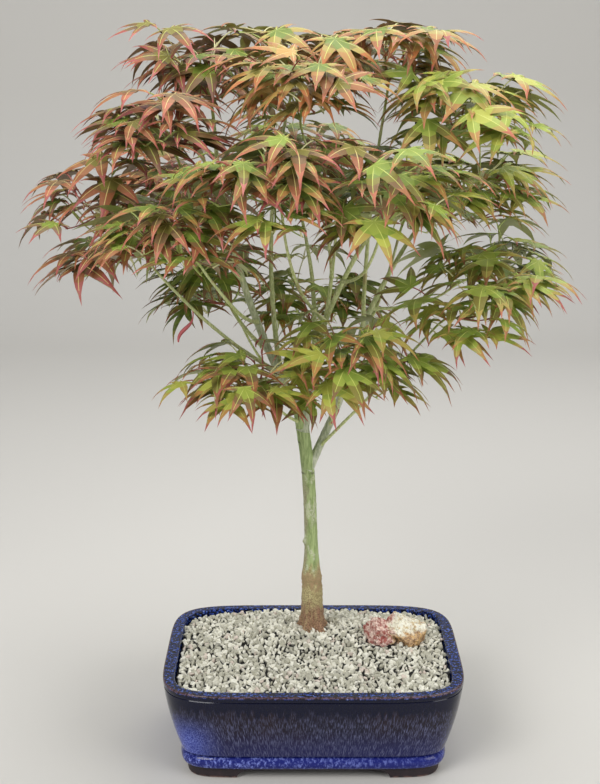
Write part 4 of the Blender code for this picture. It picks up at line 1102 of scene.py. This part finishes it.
class Mass:
    # a mass of leaves as it grows
    def __init__(self, name, bough, middle, half, wanted, look):
        self.name, self.wanted, self.look = name, wanted, look
        self.middle, self.half = Vector(middle), Vector(half)
        self.seed = growth["seed"] + codeSum("leaves_" + name)
        self.sprays = []
        # the stem leaves the bough's tip as the solid's last ring points
        curve, thick = limbs[bough], boughs[bough][4] > boughBark["thick"]
        step = growth["solidSteps"][0 if thick else 1]
        count = max(4, round((curve(1)[0] - curve(0)[0]).length / step))
        tip, self.stemRadius = curve(1)
        ahead = (tip - curve(1 - 1 / count)[0]).normalized()
        start = tip + ahead * trunkShape["gap"]
        hub = self.middle + Vector((0, 0, -growth["hubDrop"] * self.half.z))
        self.stem = [start, start + ahead * (hub - start).length * growth["stemAhead"], hub]

    def leafCount(self):
        return sum(len(spray["leaves"]) for spray in self.sprays)

    def shoot(self, k):
        # the source's rule for one twig and its four leaves
        g = growth
        rng = random.Random(self.seed * 1000 + k)
        spread = math.sqrt(((k * 0.618 + 0.3) % 1.0) * 0.92 + 0.04)
        turn = self.seed + k * goldenTurn + rng.uniform(-0.3, 0.3)
        out = Vector((math.cos(turn), math.sin(turn), 0))
        lift = g["rise"] * math.sqrt(1 - spread ** 2) - g["drop"] + rng.uniform(-0.22, 0.12)
        reach = spread * g["reach"]
        half = self.half
        end = self.middle + Vector((out.x * half.x * reach, out.y * half.y * reach, half.z * lift))
        root = self.stem[1].lerp(self.stem[2], 1 - 0.75 * spread)
        away = Vector((end.x - trunkShape["foot"][0], end.y - trunkShape["foot"][1], 0))
        facing = (out + away.normalized() * g["outward"]).normalized()
        either = rng.choice((-1, 1))
        leaves = []
        for along, side in g["places"]:
            side = either if side is None else side
            swing = side * rng.uniform(*g["swing"]) if side else rng.uniform(-g["waver"], g["waver"])
            leaves.append(leafAt(along, root.lerp(end, along), spun(facing, swing), rng, g))
        return root, end, facing, leaves

    def grow(self, root, end, facing, leaves, rng, thin=1.0, sag=0.07):
        leaves = [leaf for leaf in leaves if leaf]
        if leaves:
            self.sprays.append({
                "twig": bowedTwig(root, end, rng, sag), "length": (end - root).length, "rng": rng,
                "facing": facing, "leaves": leaves, "radius": growth["twig"] * thin})

    def findSource(self, room):
        # the solid's sprays, each leaf with the turn and size that it has there
        node = frame["nodes"]["leaves_" + self.name]
        known = KDTree(len(node.data.vertices))
        for k, vert in enumerate(node.data.vertices):
            known.insert(vert.co, k)
        known.balance()

        def sourceLeaf(leaf):
            for turned in leafTurns(leaf, growth["sizes"], growth["turns"]):
                shape = leafFan(*turned[1:])
                if all(known.find(shape[0][k] + plantShift)[2] < growth["near"] for k in (-1, 5, 3)):
                    room.add(shape)
                    return turned
            return None

        for k in range(growth["tries"] * self.wanted):
            root, end, facing, leaves = self.shoot(k)
            self.grow(root, end, facing, map(sourceLeaf, leaves), random.Random(self.seed * 77 + k))

    def fitted(self, leaf, room):
        # the leaf at the first turn and size that finds room
        for turned in leafTurns(leaf, filling["sizes"], filling["turns"]):
            along, joint, heading, normal, size = turned
            for p in leafFan(joint, heading, normal, size)[0]:
                off = sum(((p[k] - self.middle[k]) / self.half[k]) ** 2 for k in range(3))
                if off > filling["margin"] ** 2 or not inBox(p):
                    break
            else:
                tight = leafFan(joint, heading, normal, size * filling["standIn"])
                if room.free(tight):
                    room.add(tight)
                    return turned
        return None

    def fill(self, room):
        found = self.leafCount()
        target, first = round(found * filling["share"]), growth["tries"] * self.wanted
        for k in range(first, first + filling["shoots"]):  # the same rule, carried on
            if self.leafCount() - found >= target * filling["shootShare"]:
                break
            root, end, facing, leaves = self.shoot(k)
            rng = random.Random(self.seed * 77 + k)
            highest = max([end.z] + [leaf[1].z for leaf in leaves])
            roomAbove = cadHigh[2] - filling["boxMargin"] - filling["leafRise"] - highest
            higher = Vector((0, 0, min(self.half.z * rng.uniform(*filling["rise"]), roomAbove)))
            lifted = ((along, joint + higher * along, *rest) for along, joint, *rest in leaves)
            leaves = [self.fitted(leaf, room) for leaf in lifted]
            self.grow(root, end + higher, facing, leaves, rng, 0.9)
        parents = list(self.sprays)
        for turn in range(filling["sideTwigs"]):
            for number, parent in enumerate(parents):
                if self.leafCount() - found >= target:
                    return
                seed = growth["seed"] * 31 + turn * 997 + number * 13 + codeSum(self.name)
                self.sideTwig(parent, random.Random(seed), room)

    def sideTwig(self, parent, rng, room):
        f = filling
        start = parent["twig"](rng.uniform(*f["from"]))
        heading = spun(parent["facing"], rng.choice((-1, 1)) * rng.uniform(*f["spread"]))
        climb = Vector((0, 0, rng.uniform(*f["climb"])))
        end = start + (heading + climb).normalized() * rng.uniform(*f["length"])
        leaves = []
        for side in (-1, 1, 0):
            ahead = spun(heading, side * rng.uniform(*f["swing"]) + rng.uniform(-0.2, 0.2))
            leaves.append(self.fitted(leafAt(1.0, end, ahead, rng, f), room))
        self.grow(start, end, heading, leaves, rng, 0.72, 0.05)


def growMasses():
    room = Room()
    crown = [Mass(name, *row) for name, row in masses.items()]
    for mass in crown:
        mass.findSource(room)
    print("leaves of the source found again:", sum(mass.leafCount() for mass in crown))
    for mass in crown:
        mass.fill(room)
    sprays = sum(len(mass.sprays) for mass in crown)
    print("leaves in all:", sum(mass.leafCount() for mass in crown), "on", sprays, "sprays")
    return crown


tints = {  # plain colours that the sprays are dealt
    "lime": "#ccd26e", "straw": "#dcc981", "fresh": "#8fa241", "spring": "#a0ad49", "mid": "#788a38",
    "moss": "#657138", "olive": "#887f3a", "yellowGreen": "#b8ba50", "mustard": "#b09b50", "amber": "#b4854a",
    "honey": "#c99e54", "orange": "#bd7543", "clay": "#a87148", "rust": "#9a5f3b", "brown": "#82643e",
    "taupe": "#857149", "mauve": "#8e6652", "umber": "#6d5535", "salmon": "#bb7053", "rose": "#aa5a52",
    "pink": "#c3776e", "wine": "#78463a", "palm": "#9ea564", "dusk": "#93805a",
}
# vein, leaf middle, five steps out along a lobe, and the underside
palettes = {
    "rusty": ("lime fresh olive taupe brown mauve rose dusk",
              "lime mid taupe taupe mauve salmon pink palm",
              "straw olive brown clay rust salmon rose dusk",
              "lime olive umber brown rust rose pink dusk",
              "straw brown umber rust clay salmon rose dusk",
              "straw umber wine rust rust rose rose dusk",
              "lime moss olive brown clay rust salmon palm"),
    "golden": ("straw olive mustard mustard amber orange rust dusk",
               "lime mid olive mustard amber clay salmon palm",
               "straw honey mustard amber orange clay rust dusk",
               "lime mid olive mustard amber orange rose palm",
               "straw olive brown clay clay rust salmon dusk"),
    "turning": ("lime fresh olive brown clay rust salmon palm",
                "lime mid moss olive amber clay rose palm",
                "lime fresh mid olive brown rust pink palm",
                "straw olive umber brown rust salmon rose dusk",
                "lime spring fresh olive mustard clay rose palm"),
    "fresh": ("lime fresh fresh mid olive amber salmon palm",
              "lime mid moss mid olive brown rust palm",
              "lime spring fresh yellowGreen mustard amber rose palm",
              "lime fresh mid olive brown clay salmon palm"),
    "bright": ("lime yellowGreen yellowGreen spring mustard amber salmon palm",
               "lime spring yellowGreen yellowGreen spring mustard clay palm",
               "straw yellowGreen yellowGreen mustard mustard amber salmon palm",
               "lime fresh spring olive mustard amber rose palm",
               "lime fresh fresh spring olive mustard clay palm"),
    "olive": ("lime fresh fresh olive olive taupe clay palm",
              "lime fresh mid mid olive mustard salmon palm",
              "lime spring spring fresh olive mustard clay palm",
              "lime yellowGreen spring spring mustard amber rose palm"),
    "skirt": ("lime fresh fresh spring olive brown rust palm",
              "lime mid fresh olive amber clay salmon palm",
              "lime yellowGreen spring yellowGreen mustard amber rose palm",
              "lime yellowGreen yellowGreen spring mustard mustard clay palm",
              "lime spring olive brown clay rust rose palm"),
    "shaded": ("fresh mid moss mid moss olive brown moss",
               "lime fresh mid mid olive brown rust palm"),
}


def leafMesh(joint, heading, normal, size, rng, palette):
    # a closed blade: arched lobes with a ridge along each, a bright vein on it, and a flat underside
    o = leafOutline
    along, across, up = leafAxes(heading, normal)
    lobes = list(o["lobes"])
    if rng.random() < o["basalOdds"]:  # many leaves have two small lobes more beside the stalk
        angle, share = o["basal"]
        lobes = [(-angle, share), *lobes, (angle, share)]
    vein, core, *bands, under = [list(tints).index(name) for name in palette.split()]
    verts = [joint + up * o["top"], joint - up * o["bottom"]]
    faces, look = [], []

    def put(tint, *face):
        faces.append(face)
        look.append(tint)

    def spot(angle, reach, drop):
        verts.append(joint + (along * math.cos(angle) + across * math.sin(angle)) * reach + up * drop)
        return len(verts) - 1

    bearings = [math.radians(a + rng.uniform(-4, 4)) for a, _ in lobes]
    heel, heelReach = o["heel"]
    notches = [spot(bearings[0] - heel, heelReach * size, -0.01 * size)]
    for k in range(1, len(lobes)):
        depth = o["hollow"] * min(1.0, 0.35 + 0.75 * min(lobes[k][1], lobes[k - 1][1]))
        notches.append(spot((bearings[k] + bearings[k - 1]) / 2, depth * size, -0.022 * size))
    notches.append(spot(bearings[-1] + heel, heelReach * size, -0.01 * size))
    put(core, 0, notches[-1], notches[0])
    put(under, 1, notches[0], notches[-1])
    claw = rng.uniform(0.3, 1.1)
    for k, (_, share) in enumerate(lobes):
        length = size * share * rng.uniform(0.95, 1.03)
        ahead = along * math.cos(bearings[k]) + across * math.sin(bearings[k])
        left = up.cross(ahead)
        droop = o["droop"] * share * claw * rng.uniform(0.8, 1.25)
        arch = o["arch"] * rng.uniform(0.6, 1.3)
        sweep = rng.uniform(-0.07, 0.07) + 0.05 * math.copysign(min(1, abs(bearings[k])), -bearings[k])
        wide = rng.uniform(0.9, 1.1) * (1.0 if share > 0.5 else 0.8)

        def onLobe(s, aside, sink=0.0):
            reach = length * (s - 0.07 * s ** 3)
            height = length * (arch * s - (arch + droop) * s ** 2.3)
            return joint + ahead * reach + left * (aside + sweep * length * s * s) + up * (height - sink)

        rows, shown = [], []
        for j in range(len(o["stations"])) if share > 0.3 else (0, 2, 4):
            s = o["stations"][j]
            halfVein = o["vein"] * size * (1 - 0.85 * s)
            start = len(verts)
            verts += [onLobe(s, halfVein), onLobe(s, -halfVein)]
            shown.append(bands[min(j + rng.choice((0, 0, 0, 1)), len(bands) - 1)])
            if j == 0:
                rows.append((start, start + 1, notches[k + 1], notches[k]))
                continue
            width = length * o["widths"][j] * wide
            # the edge colours reach further back than those along the vein
            verts += [onLobe(s - o["chevron"], side * width * rng.uniform(0.94, 1.06), o["fold"] * width)
                      for side in (1, -1)]
            rows.append((start, start + 1, start + 2, start + 3))
        tip = len(verts)
        verts.append(onLobe(1.0, 0.0))
        midLeft, midRight, rimLeft, rimRight = rows[0]
        put(core, 0, midLeft, rimLeft)
        put(core, 0, rimRight, midRight)
        put(vein, 0, midRight, midLeft)
        put(under, 1, rimLeft, rimRight)
        for j, (a, b) in enumerate(zip(rows, rows[1:])):
            put(shown[j], a[0], b[0], b[2], a[2])
            put(shown[j], a[3], b[3], b[1], a[1])
            put(vein if j < o["veinRows"] else shown[j], a[1], b[1], b[0], a[0])
            put(under, a[2], b[2], b[3], a[3])
        for tint, near, far in ((bands[-1], 0, 2), (bands[-1], 3, 1), (bands[-1], 1, 0), (under, 2, 3)):
            put(tint, rows[-1][near], tip, rows[-1][far])
    return verts, faces, look


hangingThings = (  # limb, share along it, fall, length, radius, tint
    ("outer_left", 0.60, (-0.35, -0.05, -1.0), 0.030, 0.0016, 4),
    ("right", 0.42, (-0.25, -0.55, -0.9), 0.019, 0.0011, 4),
    ("leader", 0.30, (-0.15, -0.60, -0.8), 0.016, 0.0009, 3),
)
twigTints = {
    "twigGreen": "#b2bf6c", "twigPale": "#dcd9a4", "twigBrown": "#957350", "twigRed": "#ad6257",
    "budPink": "#c9666a",
}
twigLook = {  # which of the tints above are dealt, and how often
    "wood": ((0, 1, 2, 3), (5, 2, 2, 1)), "stalk": ((0, 1, 3), (3, 5, 1)), "ownPalette": 0.8,
    "step": 0.005, "taper": 0.35, "knot": 0.25, "knotLength": 0.0010, "bud": 0.0022, "sag": (0.02, 0.16),
}
leafPieces = {"leavesRed": "leaves_red", "leavesOrange": "leaves_orange", "leavesGreen": "leaves_green"}


def hangCurled(twigs):
    # a leaf still rolled up and a few buds, each on a thread of a stalk
    steps = 14
    for limb, share, fall, length, radius, tint in hangingThings:
        start, fall = limbs[limb](share)[0], Vector(fall).normalized()
        side = fall.cross(Vector((0, 1, 0))).normalized()
        path, radii = [], []
        for k in range(steps + 1):
            t = k / steps
            path.append(start + fall * length * t + side * length * 0.10 * math.sin(5.5 * t))
            rolled = radius * math.sin(math.pi * max(0, k - 3) / 12) ** 0.7 + 0.0001
            radii.append(growth["petioleRadius"] if k < 4 else rolled)
        twigs.add(*tube(path, radii, 6), tint)


def addStem(twigs, mass):
    start, corner, hub = mass.stem
    turn = corner.lerp(hub, 0.22)
    sixths = [k / 6 for k in range(1, 7)]
    path = [start - (corner - start).normalized() * 0.002]
    path += [start.lerp(corner, t).lerp(corner.lerp(turn, t), t) for t in sixths]
    path += [turn.lerp(hub, t) for t in sixths]
    thinner = growth["twig"] * 1.05 - mass.stemRadius
    radii = [mass.stemRadius + thinner * k / (len(path) - 1) for k in range(len(path))]
    twigs.add(*tube(path, radii, 8), 0)


def addSpray(twigs, blades, spray, choice):
    rng, twig, length = spray["rng"], spray["twig"], spray["length"]
    t = twigLook
    palette = rng.choice(choice)
    wood, stalk = rng.choices(*t["wood"])[0], rng.choices(*t["stalk"])[0]
    count = max(4, round(length / t["step"]))
    path, radii = [], []
    for s in (k / count for k in range(count + 1)):
        path.append(twig(s))
        knot = max(peak((s - leaf[0]) * length, t["knotLength"]) for leaf in spray["leaves"])
        radii.append(spray["radius"] * (1 - t["taper"] * s) * (1 + t["knot"] * knot))
    path.append(path[-1] + (path[-1] - path[-2]).normalized() * t["bud"])  # the bud at its end
    radii.append(radii[-1] * 0.25)
    twigs.add(*tube(path, radii, 6), wood)
    for share, joint, heading, normal, size in spray["leaves"]:
        foot = twig(min(share, 0.995))
        sag = Vector((0, 0, 1)) * (joint - foot).length * rng.uniform(*t["sag"])
        line = [bowed(foot, joint, sag, k / 5) for k in range(6)]
        thick = [growth["petioleRadius"] * k for k in (1.7, 1.15, 1, 1, 1, 1.1)]
        twigs.add(*tube(line, thick, 5), stalk)
        tinted = palette if rng.random() < t["ownPalette"] else rng.choice(choice)
        blades.add(*leafMesh(joint, heading, normal, size, rng, tinted))


def makeCrown():
    crown = growMasses()
    leafMaterials = [grained("leaf" + name[0].upper() + name[1:], code, 1400, 0.00012, 0.42, 0.62)
                     for name, code in tints.items()]
    twigMaterials = [grained(name, code, 1200, 0.00015, 0.45, 0.7) for name, code in twigTints.items()]
    twigs = Skin()
    groups = {name: Skin() for name in leafPieces}
    replaced = {name: [] for name in leafPieces}
    for mass in crown:  # the left is rusty, the top orange, the rest green
        x, _, z = mass.middle
        piece = "leavesRed" if x < -0.06 else "leavesOrange" if z > 0.54 else "leavesGreen"
        replaced[piece].append("leaves_" + mass.name)
        addStem(twigs, mass)
        for spray in mass.sprays:
            addSpray(twigs, groups[piece], spray, palettes[mass.look])
    hangCurled(twigs)
    finished(twigs.build("twigs", twigMaterials), "young_bark")
    for name, slot in leafPieces.items():
        finished(groups[name].build(name, leafMaterials, sharpFrom=75), slot, *replaced[name])


# A pale studio and the camera.
studio = {
    "floor": "#cfccc6", "front": -3.0, "depth": 1.6, "width": 4.0, "height": 2.6, "bend": 0.5,
    "lights": (("keySoftbox", (-1.1, -1.5, 1.75), 1.1, 29), ("fillSoftbox", (1.5, -1.1, 1.1), 1.2, 15),
               ("topSoftbox", (0.1, 0.1, 1.9), 1.3, 15), ("backSoftbox", (0.5, 1.1, 1.5), 1.0, 6)),
    "aim": (0.0, 0.0, 0.33), "sky": (0.93, 0.96, 1.0, 1.0), "ambient": 0.40,
    "camera": (-0.0112, -1.136, 0.5948), "pitch": 13.92, "lens": 64.39, "sensor": 36.0,
}


def makeStudio():
    s = studio
    rows = [(s["front"], 0.0), (s["depth"], 0.0)]
    for a in (math.radians(9 * k) for k in range(1, 11)):
        rows.append((s["depth"] + s["bend"] * math.sin(a), s["bend"] * (1 - math.cos(a))))
    rows.append((s["depth"] + s["bend"], s["height"]))
    verts = [(side * s["width"], y, z) for y, z in rows for side in (-1, 1)]
    faces = [(2 * k, 2 * k + 1, 2 * k + 3, 2 * k + 2) for k in range(len(rows) - 1)]
    mesh = bpy.data.meshes.new("paleFloor")
    mesh.from_pydata(verts, [], faces)
    mesh.materials.append(newMaterial("paleFloor", s["floor"], 0.7)[0])
    mesh.shade_smooth()
    linked("paleFloor", mesh)
    for name, place, size, power in s["lights"]:
        data = bpy.data.lights.new(name, "AREA")
        data.size, data.energy = size, power
        light = linked(name, data)
        light.location = place
        light.rotation_euler = (Vector(s["aim"]) - Vector(place)).to_track_quat("-Z", "Y").to_euler()
    world = bpy.data.worlds.new("softSky")
    world.use_nodes = True
    sky = world.node_tree.nodes["Background"]
    Wiring(world.node_tree).join(sky, {"Color": s["sky"], "Strength": s["ambient"]})
    scene.world = world
    data = bpy.data.cameras.new("camera")
    data.lens, data.sensor_width = s["lens"], s["sensor"]
    camera = linked("camera", data)
    camera.location = Vector(s["camera"]) + plantShift
    camera.rotation_euler = (math.radians(90 - s["pitch"]), 0, 0)
    scene.camera = camera
    scene.view_settings.view_transform = "Standard"


makeStudio()
makePot()
makeGravel()
makeStone()
makeTrunk()
makeBoughs()
makeCrown()
